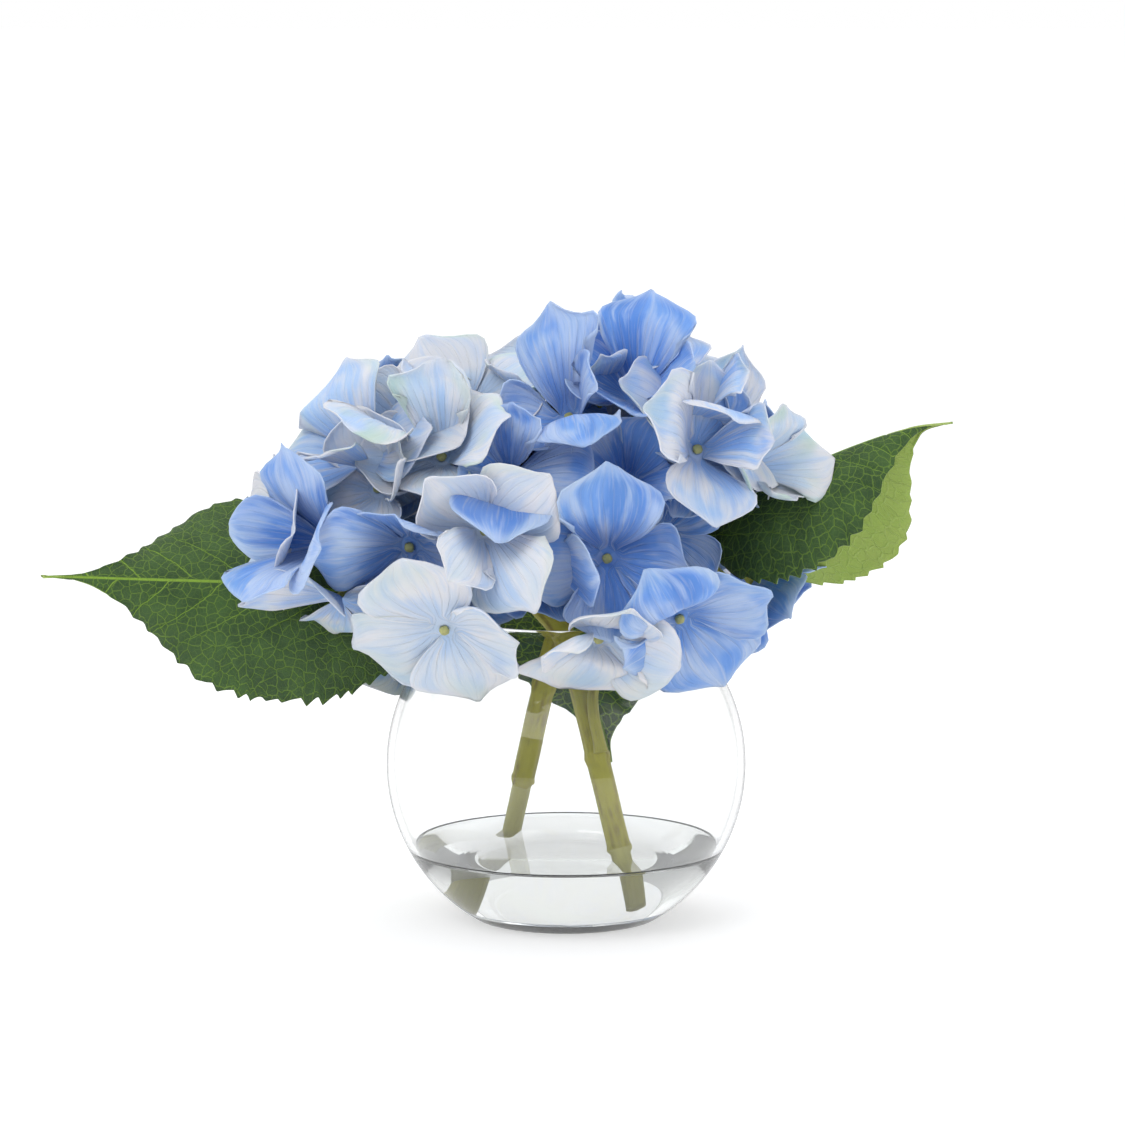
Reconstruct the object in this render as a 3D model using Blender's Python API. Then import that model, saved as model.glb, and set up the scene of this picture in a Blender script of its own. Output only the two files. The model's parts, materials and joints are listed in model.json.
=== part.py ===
"""Two silk hydrangea heads standing in set water in a clear glass bubble bowl.

Metres, +Z up, +Y away from the front. The origin is the centre of the bowl's flat base. The bowl is
turned round Z. Each head is a moulded spray (a knob with one branch per floret) on a wired stem, and
each floret is a four-petalled cut-out threaded on its branch's pin, between a collar and a bead.
"""

import math

import bmesh
import bpy
import numpy as np
from mathutils import Vector
from mathutils.bvhtree import BVHTree

# Bowl
BOWL_R = 0.065  # outside radius of the glass ball
BASE_R = 0.0325  # radius of the ground flat that it stands on
MOUTH_R = 0.038  # outside radius at the rim
WALL = 0.0025  # glass thickness
FLOOR = 0.005  # glass thickness over the flat base
FIT = 0.0003  # gap between pieces that touch

# Set water and stems
WATER_Z = 0.026  # height of the water's surface
STEM_R = 0.0041  # radius of the sleeved stem
CORE_R = 0.0035  # radius of the bare lower length
STEM_END_Z = 0.013  # how low the stems' cut ends reach
SLEEVE_LEFT_Z = 0.0446  # where the sleeve of the stem that stands at the left ends
SLEEVE_RIGHT_Z = 0.030
JOINT_LEFT_Z = 0.0817  # joint of the stem that stands at the left
JOINT_RIGHT_Z = 0.062  # joint of the other one, which the leaf in the bowl grows from
JOINT = 1.14  # how much wider a stem is at a joint
STALK_R = 0.0017  # leaf stalk
FOOT = 1.25  # how much wider a stalk is at its foot

# Heads
HEAD_R = 0.050  # from a head's middle to a floret on its surface
KNOB_R = 0.0075  # moulded knob at the middle of a head
BRANCH_R = 0.0011
PIN_R = 0.0011  # pin through a floret
COLLAR_R = 0.0021  # stop below a floret
BEAD_R = 0.0018  # bead over a floret's middle
BEAD_H = 0.0024
RING_R = 0.0034  # solid middle of a floret, where its petals start
PETAL = 0.0006  # thickness of a petal
POST_R = 0.0058  # room kept over a floret's middle for its own petals
POST_H = 0.022
LEAF = 0.0008  # thickness of a leaf blade
MOST_FLORETS = 46
FILL_SITES = 44  # places in sunflower order round a head, where a floret may be set
FILL_SLOTS = ("pale_blue", "deep_blue", "white", "deep_blue", "grey_blue", "pale_blue", "deep_blue")

# How petals are laid
PRESS = 0.0011  # how far one press moves a petal's row
PRESSES = 9  # presses that a petal takes before it is made shorter
PRESSES_FRONT = 15
SHORTER = 0.92  # a shorter petal's share of the one before it
LENGTHS = 14  # lengths that are tried
TURNS = (0, 10, -10, 20, -20, 30, -30, 45)  # turns of the floret that are tried, in degrees
GOOD_COST = 4.0  # a floret that costs less than this is taken at once
UPRIGHT_COST = 16.0

BOWL_Z = math.sqrt(BOWL_R**2 - BASE_R**2)  # height of the ball's middle
INNER_R = BOWL_R - WALL
RIM_Z = BOWL_Z + math.sqrt(BOWL_R**2 - MOUTH_R**2)

COLOURS = {  # base colour, roughness
    "glass": ((0.95, 0.97, 0.97), 0.02),
    "water": ((0.90, 0.94, 0.95), 0.03),
    "stem": ((0.31, 0.30, 0.07), 0.5),
    "leaf": ((0.05, 0.09, 0.03), 0.5),
    "branch": ((0.30, 0.33, 0.12), 0.5),
    "deep_blue": ((0.10, 0.26, 0.68), 0.8),
    "pale_blue": ((0.40, 0.55, 0.80), 0.8),
    "grey_blue": ((0.50, 0.58, 0.66), 0.8),
    "white": ((0.75, 0.72, 0.72), 0.8),
}

# Florets that face the front: x, height over the rim, how far they stand out of the ball, the turn of
# the first petal in degrees, petal length, lift of the petals in degrees, sideways and upward tilt of
# the floret, colour.
FRONT = (
    (-0.028, 0.041, 0.015, 62, 0.030, 18, 0.0, -0.35, "white"),
    (-0.042, 0.006, 0.013, 20, 0.031, 12, -0.1, -0.3, "white"),
    (-0.020, 0.058, 0.006, 60, 0.028, 24, 0.0, 0.15, "deep_blue"),
    (0.001, 0.076, 0.004, 12, 0.027, 28, 0.1, 0.1, "deep_blue"),
    (0.010, 0.087, 0.002, 22, 0.025, 25, 0.0, 0.0, "pale_blue"),
    (-0.033, 0.081, 0.003, 88, 0.027, 22, 0.0, -0.1, "grey_blue"),
    (-0.013, 0.085, 0.001, 80, 0.024, 25, 0.0, 0.0, "grey_blue"),
    (0.045, 0.066, 0.006, 75, 0.028, 20, 0.1, 0.0, "pale_blue"),
    (0.039, 0.009, 0.016, 38, 0.031, 15, 0.1, -0.15, "deep_blue"),
    (0.014, 0.030, 0.009, 66, 0.027, 28, 0.0, 0.1, "deep_blue"),
    (0.011, 0.003, 0.021, 186, 0.031, 15, 0.0, -0.1, "white"),
    (-0.008, 0.028, -0.002, 15, 0.024, 55, 0.1, 0.1, "deep_blue"),
    (-0.070, 0.062, 0.004, 125, 0.027, 18, -0.1, 0.0, "pale_blue"),
    (-0.055, 0.072, 0.003, 25, 0.025, 30, 0.0, -0.2, "grey_blue"),
    (-0.097, 0.039, 0.013, 100, 0.026, 18, -0.1, 0.0, "white"),
    (-0.084, 0.034, 0.009, 70, 0.025, 45, -0.1, 0.2, "deep_blue"),
    (-0.080, 0.013, 0.006, 188, 0.027, 12, 0.0, -0.6, "pale_blue"),
    (-0.054, 0.034, 0.004, 172, 0.026, 28, 0.0, -0.5, "deep_blue"),
    (-0.065, 0.052, 0.0, 35, 0.022, 30, 0.0, 0.0, "white"),
    (-0.043, 0.063, 0.003, 30, 0.025, 28, -0.2, 0.1, "grey_blue"),
    (0.024, 0.083, 0.002, 60, 0.024, 45, 0.1, 0.0, "deep_blue"),
    (0.043, 0.077, 0.002, 88, 0.024, 40, 0.0, 0.0, "pale_blue"),
    (0.057, 0.072, 0.0, 10, 0.023, 28, 0.1, 0.0, "pale_blue"),
    (0.021, 0.054, -0.004, 60, 0.024, 55, 0.0, 0.1, "deep_blue"),
    (0.064, 0.058, 0.001, 78, 0.022, 40, 0.0, 0.0, "grey_blue"),
)

# Florets set behind the leaves and the bowl: place over the rim, first petal's turn, length, colour.
BEHIND = (
    ((-0.062, 0.028, -0.009), 60, 0.024, "pale_blue"),
    ((-0.036, 0.054, -0.004), 70, 0.024, "pale_blue"),
    ((0.064, 0.024, 0.006), 40, 0.024, "deep_blue"),
    ((0.010, 0.058, 0.000), 10, 0.024, "pale_blue"),
    ((0.073, 0.008, 0.057), 20, 0.019, "deep_blue"),
)

LEAF_OUTLINE = (  # share of the length, share of the half width: broad, then drawn out to a long tip
    (0.0, 0.05), (0.07, 0.50), (0.16, 0.77), (0.27, 0.95), (0.38, 1.0), (0.50, 0.96),
    (0.60, 0.82), (0.68, 0.58), (0.77, 0.28), (0.86, 0.08), (1.0, 0.02),
)


def over_rim(x, y, z):
    """A place given by its height over the bowl's rim."""
    return np.array((x, y, RIM_Z + z))


def in_bowl(x, y, z):
    """A place given in shares of the ball's radius."""
    return np.array((x, y, z)) * BOWL_R


def stem_end(x, y):
    """A stem's cut end, given in shares of the ball's radius."""
    return np.array((x * BOWL_R, y * BOWL_R, STEM_END_Z))


HEAD_LEFT = over_rim(-0.042, -0.004, 0.031)
HEAD_RIGHT = over_rim(0.026, 0.000, 0.042)

# The stems cross in the mouth: the one that stands at the left carries the right head.
STEM_LEFT = (stem_end(-0.351, 0.468), in_bowl(-0.092, 0.154, 1.415),
             over_rim(0.003, 0.007, 0.004), over_rim(0.015, 0.004, 0.022), HEAD_RIGHT)
STEM_RIGHT = (stem_end(0.358, -0.472), in_bowl(0.046, -0.123, 1.415),
              over_rim(-0.008, -0.006, 0.004), over_rim(-0.025, -0.005, 0.018), HEAD_LEFT)


def unit(vector):
    vector = np.asarray(vector, float)
    return vector / np.linalg.norm(vector)


def axis_point(point):
    """The nearest point to this one on the line from head to head."""
    run = HEAD_RIGHT - HEAD_LEFT
    share = np.dot(point - HEAD_LEFT, run) / np.dot(run, run)
    return HEAD_LEFT + run * min(1.0, max(0.0, share))


def outward(point):
    return unit(point - axis_point(point))


def press_way(point):
    """The way that a petal is pressed: out of its head, or off the bowl where it hangs beside it."""
    if point[2] > RIM_Z + 0.006:
        return outward(point)
    return unit((point[0], point[1], 0.3 * math.hypot(point[0], point[1])))


# Meshes, as (vertices, faces)


def smooth_path(points, steps):
    """A Catmull-Rom curve through the points."""
    ends = [2 * points[0] - points[1], *points, 2 * points[-1] - points[-2]]
    path = []
    for a, b, c, d in zip(ends, ends[1:], ends[2:], ends[3:]):
        for t in np.arange(steps) / steps:
            path.append(0.5 * (2 * b + (c - a) * t + (2 * a - 5 * b + 4 * c - d) * t**2
                               + (3 * b - a - 3 * c + d) * t**3))
    return [*path, points[-1]]


def tube(path, radii, sides):
    """A closed tube along the path, with flat ends."""
    path = [np.asarray(p, float) for p in path]
    side = None
    vertices, faces = [], []
    for i, (point, radius) in enumerate(zip(path, radii)):
        before, after = path[max(i - 1, 0)], path[min(i + 1, len(path) - 1)]
        run = unit(after - before)
        if side is None:
            side = unit(np.cross(run, (0.3, 1.0, 0.2)))
        side = unit(side - run * np.dot(side, run))
        across = np.cross(run, side)
        for k in range(sides):
            turn = 2 * math.pi * k / sides
            vertices.append(point + radius * (math.cos(turn) * side + math.sin(turn) * across))
    for i in range(len(path) - 1):
        for k in range(sides):
            a, b = i * sides + k, i * sides + (k + 1) % sides
            faces.append((a, b, b + sides, a + sides))
    faces.append(tuple(reversed(range(sides))))
    faces.append(tuple(range(len(vertices) - sides, len(vertices))))
    return np.array(vertices), faces


def sheet_normals(points, quads):
    normals = np.zeros_like(points)
    for face in quads:
        a, b, c, d = (points[i] for i in face)
        for i in face:
            normals[i] += np.cross(c - a, d - b)
    return normals / np.linalg.norm(normals, axis=1)[:, None]


def thicken(points, quads, thickness):
    """A closed solid with the sheet in its middle."""
    points = np.asarray(points, float)
    count = len(points)
    step = sheet_normals(points, quads) * thickness / 2
    faces = []
    for a, b, c, d in quads:
        faces += [(a, b, c), (a, c, d)]
        faces += [(c + count, b + count, a + count), (d + count, c + count, a + count)]
    edges = {(f[i], f[(i + 1) % 4]) for f in quads for i in range(4)}
    for a, b in sorted(edges):
        if (b, a) not in edges:
            faces += [(b, a, a + count), (b, a + count, b + count)]
    return np.vstack((points + step, points - step)), faces


def turned(profile, sides):
    """A closed solid from a closed profile of (radius, height), the ends of which lie on the axis."""
    vertices, faces, rows = [], [], []
    for radius, height in profile:
        if radius < 1e-9:
            rows.append([len(vertices)] * sides)
            vertices.append((0, 0, height))
            continue
        rows.append(list(range(len(vertices), len(vertices) + sides)))
        for k in range(sides):
            turn = 2 * math.pi * k / sides
            vertices.append((radius * math.cos(turn), radius * math.sin(turn), height))
    for low, high in zip(rows, rows[1:]):
        for k in range(sides):
            n = (k + 1) % sides
            face = [low[k], low[n], high[n], high[k]]
            faces.append(tuple(dict.fromkeys(face)))
    return np.array(vertices, float), faces


# Blender objects


def material(name):
    made = bpy.data.materials.get(name)
    if made:
        return made
    colour, rough = COLOURS[name]
    made = bpy.data.materials.new(name)
    made.use_nodes = True
    shader = made.node_tree.nodes["Principled BSDF"]
    shader.inputs["Base Color"].default_value = (*colour, 1)
    shader.inputs["Roughness"].default_value = rough
    shader.inputs["Metallic"].default_value = 0
    if name in ("glass", "water"):
        shader.inputs["Transmission Weight"].default_value = 1
    return made


def add_object(name, mesh_data, slot, smooth=True):
    vertices, faces = mesh_data
    mesh = bpy.data.meshes.new(name)
    mesh.from_pydata([tuple(v) for v in vertices], [], faces)
    mesh.validate()
    work = bmesh.new()
    work.from_mesh(mesh)
    if work.calc_volume(signed=True) < 0:
        bmesh.ops.reverse_faces(work, faces=work.faces)
    work.to_mesh(mesh)
    work.free()
    if smooth:
        mesh.shade_smooth()
        mesh.set_sharp_from_angle(angle=math.radians(50))
    mesh.materials.append(material(slot))
    obj = bpy.data.objects.new(name, mesh)
    bpy.context.scene.collection.objects.link(obj)
    return obj


def combine(obj, others, operation):
    """Joins helpers to an object, or cuts them from it, and then removes them."""
    for other in others:
        other.hide_render = True
        other.display_type = "WIRE"
        change = obj.modifiers.new(other.name, "BOOLEAN")
        change.operation = operation
        change.solver = "EXACT"
        change.object = other
    graph = bpy.context.evaluated_depsgraph_get()
    result = bpy.data.meshes.new_from_object(obj.evaluated_get(graph))
    obj.modifiers.clear()
    obj.data = result
    for other in others:
        bpy.data.objects.remove(other)
    return obj


# Bowl and water


def ball_height(radius, at_radius, sign):
    return BOWL_Z + sign * math.sqrt(radius**2 - at_radius**2)


def ball_arc(radius, start, end, steps):
    """Points of a circle round the ball's middle, from one height to another."""
    low = math.asin((start - BOWL_Z) / radius)
    high = math.asin((end - BOWL_Z) / radius)
    turns = low + (high - low) * np.arange(steps + 1) / steps
    return [(radius * math.cos(t), BOWL_Z + radius * math.sin(t)) for t in turns]


def inner_wall():
    return ball_arc(INNER_R, ball_height(INNER_R, MOUTH_R - WALL, 1), FLOOR, 11)


def bowl_mesh():
    outer = ball_arc(BOWL_R, 0.0, RIM_Z, 12)
    lip = [(MOUTH_R - 0.25 * WALL, RIM_Z + 0.45 * WALL), (MOUTH_R - 0.75 * WALL, RIM_Z + 0.45 * WALL)]
    return turned([(0, 0), *outer, *lip, *inner_wall(), (0, FLOOR)], 36)


def water_mesh():
    """Fills the bowl to the surface, a gap inside the wall's own facets."""
    share = (INNER_R - FIT) / INNER_R
    wall = [(r * share, BOWL_Z + (z - BOWL_Z) * share) for r, z in reversed(inner_wall())]
    side = [(wall[0][0], FLOOR + FIT)]
    for (low_r, low_z), (high_r, high_z) in zip(wall, wall[1:]):
        if high_z >= WATER_Z:
            part = (WATER_Z - low_z) / (high_z - low_z)
            side.append((low_r + (high_r - low_r) * part, WATER_Z))
            break
        side.append((high_r, high_z))
    return turned([(0, FLOOR + FIT), *side, (0, WATER_Z)], 36)


# Stems and stalks


def stem_path(points):
    """From the cut end in the water to just under the head's knob."""
    path = smooth_path(list(points), 4)
    back = unit(path[-2] - path[-1])
    path[-1] = points[-1] + back * (KNOB_R + FIT)
    return [p for p in path[:-1] if np.linalg.norm(p - points[-1]) > KNOB_R + 0.003] + [path[-1]]


def stem_mesh(points, sleeve_z, joint_z):
    """A bare core below, a sleeve over it from sleeve_z, and a swollen joint at joint_z."""
    path, radii = [], []
    walk = stem_path(points)
    for a, b in zip(walk, walk[1:]):
        for z, sizes in ((sleeve_z, (CORE_R, STEM_R)), (joint_z, None)):
            if a[2] < z <= b[2]:
                at = a + (b - a) * (z - a[2]) / (b[2] - a[2])
                step = unit(b - a)
                if sizes:
                    path += [at - step * 0.0003, at + step * 0.0003]
                    radii += list(sizes)
                else:
                    path += [at - step * 0.003, at, at + step * 0.0025]
                    radii += [STEM_R, STEM_R * JOINT, STEM_R]
        if all(np.linalg.norm(b - p) > 0.005 for p in path[-3:]) or b is walk[-1]:
            path.append(b)
            radii.append(CORE_R if b[2] < sleeve_z else STEM_R)
    path.insert(0, walk[0])
    radii.insert(0, CORE_R)
    return tube(path, radii, 10)


def pocket_mesh(points):
    """The space that a stem takes in the water, open at the surface."""
    low, high = stem_path(points)[:2]
    down = unit(low - high)
    path = (low + down * FIT, low + (low - high) * (low[2] - WATER_Z - 0.004) / (high[2] - low[2]))
    return tube(path, (CORE_R + FIT, CORE_R + FIT), 14)


def stalk_mesh(points):
    path = smooth_path(points, 3)
    radii = [STALK_R * (FOOT - 0.5 * i / (len(path) - 1)) for i in range(len(path))]
    return tube(path, radii, 7)


# Leaves


class Leaf:
    """A blade folded along its midrib. Each half goes out from the midrib in its own direction."""

    def __init__(self, midrib, halves, half_width, arch, upper):
        self.midrib = smooth_path(midrib, 8)
        self.halves = [unit(h) for h in halves]
        self.half_width = half_width
        self.arch = arch
        self.upper = unit(upper)

    def on_midrib(self, share):
        steps = [np.linalg.norm(b - a) for a, b in zip(self.midrib, self.midrib[1:])]
        left = share * sum(steps)
        for a, b, step in zip(self.midrib, self.midrib[1:], steps):
            if left <= step:
                return a + (b - a) * left / step
            left -= step
        return self.midrib[-1]

    def point(self, share, width_share, side, out):
        reach = self.half_width * width_share * out
        bow = self.arch * self.half_width * width_share * math.sin(math.pi * out)
        return self.on_midrib(share) + self.halves[side] * reach + self.upper * bow

    def mesh(self):
        points, quads = [], []
        for share, width in LEAF_OUTLINE:
            points += [self.point(share, width, 0, out) for out in (1.0, 0.66, 0.33)]
            points.append(self.on_midrib(share))
            points += [self.point(share, width, 1, out) for out in (0.33, 0.66, 1.0)]
        for row in range(len(LEAF_OUTLINE) - 1):
            for k in range(6):
                a = row * 7 + k
                quads.append((a, a + 1, a + 8, a + 7))
        return thicken(points, quads, LEAF)

    def butt(self):
        """The last two points of a stalk, the end of which meets the blade's narrow base."""
        base = self.on_midrib(0)
        back = unit(base - self.on_midrib(0.04))
        return [base + back * 0.005, base + back * 2.5 * FIT]


LEAVES = {
    "left": Leaf(
        [over_rim(-0.050, -0.014, 0.007), over_rim(-0.080, -0.021, 0.013), over_rim(-0.110, -0.025, 0.0165),
         over_rim(-0.150, -0.026, 0.018), over_rim(-0.186, -0.024, 0.019)],
        ((0.0, -0.12, -0.99), (0.0, 0.76, 0.64)), 0.041, 0.06, (0.0, -0.9, 0.44)),
    "right": Leaf(
        [over_rim(0.047, -0.014, 0.034), over_rim(0.064, -0.019, 0.046), over_rim(0.090, -0.019, 0.060),
         over_rim(0.118, -0.016, 0.070), over_rim(0.137, -0.014, 0.073)],
        ((0.16, -0.55, -0.80), (0.60, 0.28, -0.75)), 0.038, 0.10, (-0.39, -0.34, 0.85)),
    "bowl": Leaf(
        [over_rim(-0.002, 0.018, 0.006), over_rim(0.001, 0.025, -0.006), over_rim(0.006, 0.0305, -0.022),
         over_rim(0.012, 0.032, -0.040), over_rim(0.017, 0.030, -0.058)],
        ((-0.96, 0.06, 0.10), (0.97, -0.10, 0.12)), 0.029, 0.10, (0.1, -0.97, 0.2)),
}


def beside(stem, height, way):
    """A place for a stalk's foot against a stem's joint, on the side that is asked for."""
    walk = stem_path(stem)
    for low, high in zip(walk, walk[1:]):
        if low[2] < height <= high[2]:
            run = unit(high - low)
            middle = low + (high - low) * (height - low[2]) / (high[2] - low[2])
            way = unit(way - run * np.dot(way, run))
            return middle + way * (JOINT * STEM_R + FOOT * STALK_R + 1.5 * FIT)
    raise ValueError("no stem at that height")


def stalk_points(name):
    end = LEAVES[name].butt()
    if name == "left":
        return [beside(STEM_RIGHT, RIM_Z + 0.011, (0.1, -0.7, -0.7)), over_rim(-0.032, -0.014, 0.004), *end]
    if name == "right":
        return [beside(STEM_LEFT, RIM_Z + 0.020, (0.5, -0.9, -0.2)), over_rim(0.033, -0.010, 0.025), *end]
    return [beside(STEM_RIGHT, JOINT_RIGHT_Z, (0.25, -0.9, 0.0)), over_rim(0.0095, -0.0185, -0.027),
            over_rim(0.013, -0.008, -0.009), over_rim(0.015, 0.006, 0.004),
            over_rim(0.011, 0.012, 0.011), *end]


# Florets


class Floret:
    """Where a floret sits, which way it faces, and its petals."""

    def __init__(self, place, axis, turn, length, lift, slot):
        self.place = np.asarray(place, float)
        self.axis = unit(axis)
        self.turn = math.radians(turn)
        self.length = length
        self.lift = math.radians(lift)
        self.slot = slot
        rise = np.array((0.0, 0.0, 1.0))
        if abs(np.dot(rise, self.axis)) > 0.9:
            rise = np.array((0.0, 1.0, 0.0)) * np.sign(self.axis[2])
        self.rise = unit(rise - self.axis * np.dot(rise, self.axis))
        self.side = np.cross(self.rise, self.axis)
        self.petals = []

    def local(self, radius, turn, height):
        way = math.cos(turn) * self.side + math.sin(turn) * self.rise
        return self.place + radius * way + height * self.axis

    def ring(self, radius):
        return [self.local(radius, self.turn + math.pi * k / 4, 0.0) for k in range(-1, 7)]

    def petal(self, k, scale, steeper):
        """Three rows of three points: the widest part, the shoulder and the tip."""
        length = self.length * scale * (1 + 0.06 * math.sin(5.1 * k + 9 * self.turn))
        lift = self.lift + steeper + 0.14 * math.sin(2.3 * k + 5 * self.turn)
        curl = 0.45 * math.sin(1.7 * k + 3 * self.turn) - 0.25
        middle = self.turn + math.pi / 2 * k + 0.07 * math.sin(3.3 * k + self.turn)
        rows = []
        radius, height, before = RING_R, 0.0, 0.0
        for share, width in ((0.42, 0.50), (0.78, 0.54), (1.0, 0.30)):
            slope = lift + curl * share
            radius += (share - before) * length * math.cos(slope)
            height += (share - before) * length * math.sin(slope)
            before = share
            cup = 0.12 * width * length * (1 + math.sin(k + 4 * self.turn))
            spread = min(math.atan2(width * length, radius), math.radians(42))
            back = 0.93 if share == 1.0 else 1.0
            rows.append([self.local(radius * back / math.cos(spread), middle - spread, height + cup),
                         self.local(radius, middle, height),
                         self.local(radius * back / math.cos(spread), middle + spread, height + cup)])
        return np.array(rows)

    def upright(self, k):
        """A short petal that stands straight up, inside the room kept over the floret."""
        middle = self.turn + math.pi / 2 * k
        rows = []
        for height, radius, spread in ((0.0035, 0.0040, 36), (0.007, 0.0043, 36), (0.010, 0.0046, 22)):
            turns = [middle + math.radians(t) for t in (-spread, 0, spread)]
            rows.append([self.local(radius, t, height) for t in turns])
        return np.array(rows)

    def base_row(self, k):
        ring = self.ring(RING_R)
        return [ring[(2 * k) % 8], ring[(2 * k + 1) % 8], ring[(2 * k + 2) % 8]]

    def petal_slab(self, k, rows, thickness):
        points = np.array([*self.base_row(k), *rows.reshape(-1, 3)])
        corners = [3 * r + c for r in range(3) for c in range(2)]
        return thicken(points, [(i, i + 1, i + 4, i + 3) for i in corners], thickness)

    def mesh(self):
        points = [*self.ring(PIN_R + FIT), *self.ring(RING_R)]
        quads = [(i, (i + 1) % 8, 8 + (i + 1) % 8, 8 + i) for i in range(8)]
        for k, rows in enumerate(self.petals):
            before = [8 + 2 * k, 8 + 2 * k + 1, 8 + (2 * k + 2) % 8]
            for row in rows:
                now = [len(points) + c for c in range(3)]
                points += list(row)
                quads += [(before[c], before[c + 1], now[c + 1], now[c]) for c in range(2)]
                before = now
        return thicken(points, quads, PETAL)

    def head(self):
        return min((HEAD_LEFT, HEAD_RIGHT), key=lambda h: np.linalg.norm(h - self.place))

    def branch_mesh(self):
        """From the knob out to the collar, the pin and the bead."""
        seat = PETAL / 2 + FIT
        rows = ((-seat - 0.004, BRANCH_R), (-seat, COLLAR_R), (-seat, PIN_R), (seat, PIN_R),
                (seat, BEAD_R * 0.8), (seat + BEAD_H * 0.45, BEAD_R), (seat + BEAD_H, BEAD_R * 0.4))
        sides = 5
        run = unit(self.place + self.axis * rows[0][0] - self.head())
        side = unit(self.side - run * np.dot(self.side, run))
        across = np.cross(run, side)
        turns = [2 * math.pi * k / sides for k in range(sides)]
        start = self.head() + run * 0.5 * KNOB_R
        vertices = [start + 1.3 * BRANCH_R * (math.cos(t) * side + math.sin(t) * across) for t in turns]
        vertices += [self.local(radius, t, height) for height, radius in rows for t in turns]
        faces = [tuple(reversed(range(sides))), tuple(range(len(vertices) - sides, len(vertices)))]
        for row in range(len(rows)):
            for k in range(sides):
                a, b = row * sides + k, row * sides + (k + 1) % sides
                faces.append((a, b, b + sides, a + sides))
        return np.array(vertices), faces

    def post_mesh(self):
        """The space that is kept over a floret until its own petals are laid."""
        path = [self.place + self.axis * height for height in (-0.002, POST_H / 2, POST_H)]
        return tube(path, (POST_R, POST_R, 1.15 * POST_R), 8)


def front_florets():
    made = []
    for x, z, proud, turn, length, lift, tilt_x, tilt_z, slot in FRONT:
        flat = over_rim(x, 0.0, z)
        base = axis_point(flat)
        reach = HEAD_R + proud
        aside = math.hypot(flat[0] - base[0], flat[2] - base[2])
        depth = math.sqrt(max(reach**2 - aside**2, 0.0))
        place = np.array((x, base[1] - depth, flat[2]))
        axis = outward(place) + np.array((tilt_x, 0.0, tilt_z))
        made.append(Floret(place, axis, turn, length, lift, slot))
    for (x, y, z), turn, length, slot in BEHIND:
        place = over_rim(x, y, z)
        made.append(Floret(place, outward(place) + np.array((0, 0, -0.1)), turn, length, 20, slot))
    return made


def fill_florets(made, blocked):
    """Sets florets over the rest of each head in sunflower order, where there is room for one."""
    for apart in (0.030, 0.026, 0.023):
        for i in range(FILL_SITES):
            for head, other in ((HEAD_LEFT, HEAD_RIGHT), (HEAD_RIGHT, HEAD_LEFT)):
                height = 1 - (2 * i + 1) / FILL_SITES
                turn = i * math.pi * (3 - math.sqrt(5))
                flat = math.sqrt(1 - height**2)
                way = np.array((flat * math.cos(turn), flat * math.sin(turn), height))
                place = head + way * (HEAD_R + 0.004 * (i % 3 - 1))
                low = place[2] < RIM_Z + 0.010 and math.hypot(place[0], place[1]) < MOUTH_R + 0.018
                near_other = np.linalg.norm(place - other) < HEAD_R
                near_made = any(np.linalg.norm(place - m.place) < apart for m in made)
                if height < -0.72 or low or near_other or near_made or len(made) >= MOST_FLORETS:
                    continue
                if blocked.find_nearest(Vector(place), 0.009)[0] is not None:
                    continue
                along = [head + (place - head) * t for t in (0.25, 0.4, 0.55, 0.7, 0.85)]
                if any(blocked.find_nearest(Vector(p), 0.004)[0] is not None for p in along):
                    continue
                slot = FILL_SLOTS[i % len(FILL_SLOTS)]
                made.append(Floret(place, outward(place), 37 * i, 0.025, 22 + 7 * (i % 4), slot))
    return made


def tree_of(meshes):
    vertices, faces = [], []
    for points, polygons in meshes:
        start = len(vertices)
        vertices += [Vector(p) for p in points]
        faces += [tuple(i + start for i in f) for f in polygons]
    return BVHTree.FromPolygons(vertices, faces)


def lay_petal(floret, k, tree):
    """Presses one petal outward until it lies clear of all that is under it, or makes it shorter.

    Gives the petal's rows, and what it cost: one for each shortening, and a little for each press.
    """
    presses = PRESSES_FRONT if floret.axis[1] < -0.5 else PRESSES
    for attempt in range(LENGTHS):
        nominal = floret.petal(k, SHORTER**attempt, 0.06 * attempt)
        ways = np.array([[press_way(p) for p in row] for row in nominal])
        raised = np.zeros((3, 3))
        for _ in range(presses):
            rows = nominal + ways * raised[:, :, None]
            slab = floret.petal_slab(k, rows, PETAL + 2 * FIT)
            hits = BVHTree.FromPolygons([Vector(p) for p in slab[0]], slab[1]).overlap(tree)
            if not hits:
                return rows, attempt + 0.02 * raised.max() / 0.001
            push = np.zeros((3, 3))
            for face in {h[0] for h in hits}:
                for i in slab[1][face]:
                    row, column = divmod(i % 12, 3)
                    row = max(row - 1, 0)
                    push[row:, column] = 1.0
                    push[row:, :] = np.maximum(push[row:, :], 0.5)
                    push[:row, column] = np.maximum(push[:row, column], 0.4)
            raised += push * PRESS
    return floret.upright(k), UPRIGHT_COST


def lay_petals(florets, fixed):
    """Lays every floret's petals, from the deepest floret to the one that stands out most."""
    order = sorted(florets, key=lambda f: np.linalg.norm(f.place - axis_point(f.place)))
    branches = {id(f): f.branch_mesh() for f in florets}
    placed = []
    for i, floret in enumerate(order):
        posts = [f.post_mesh() for f in order[i + 1:]]
        others = [m for key, m in branches.items() if key != id(floret)]
        tree = tree_of([*fixed, *others, *placed, *posts])
        tries = []
        start = floret.turn
        for offset in TURNS:
            floret.turn = start + math.radians(offset)
            laid = [lay_petal(floret, k, tree) for k in range(4)]
            cost = sum(c for _, c in laid) + 0.02 * abs(offset)
            tries.append((cost, floret.turn, [rows for rows, _ in laid]))
            if cost < GOOD_COST:
                break
        _, floret.turn, floret.petals = min(tries, key=lambda t: t[0])
        placed.append(floret.mesh())


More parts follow.
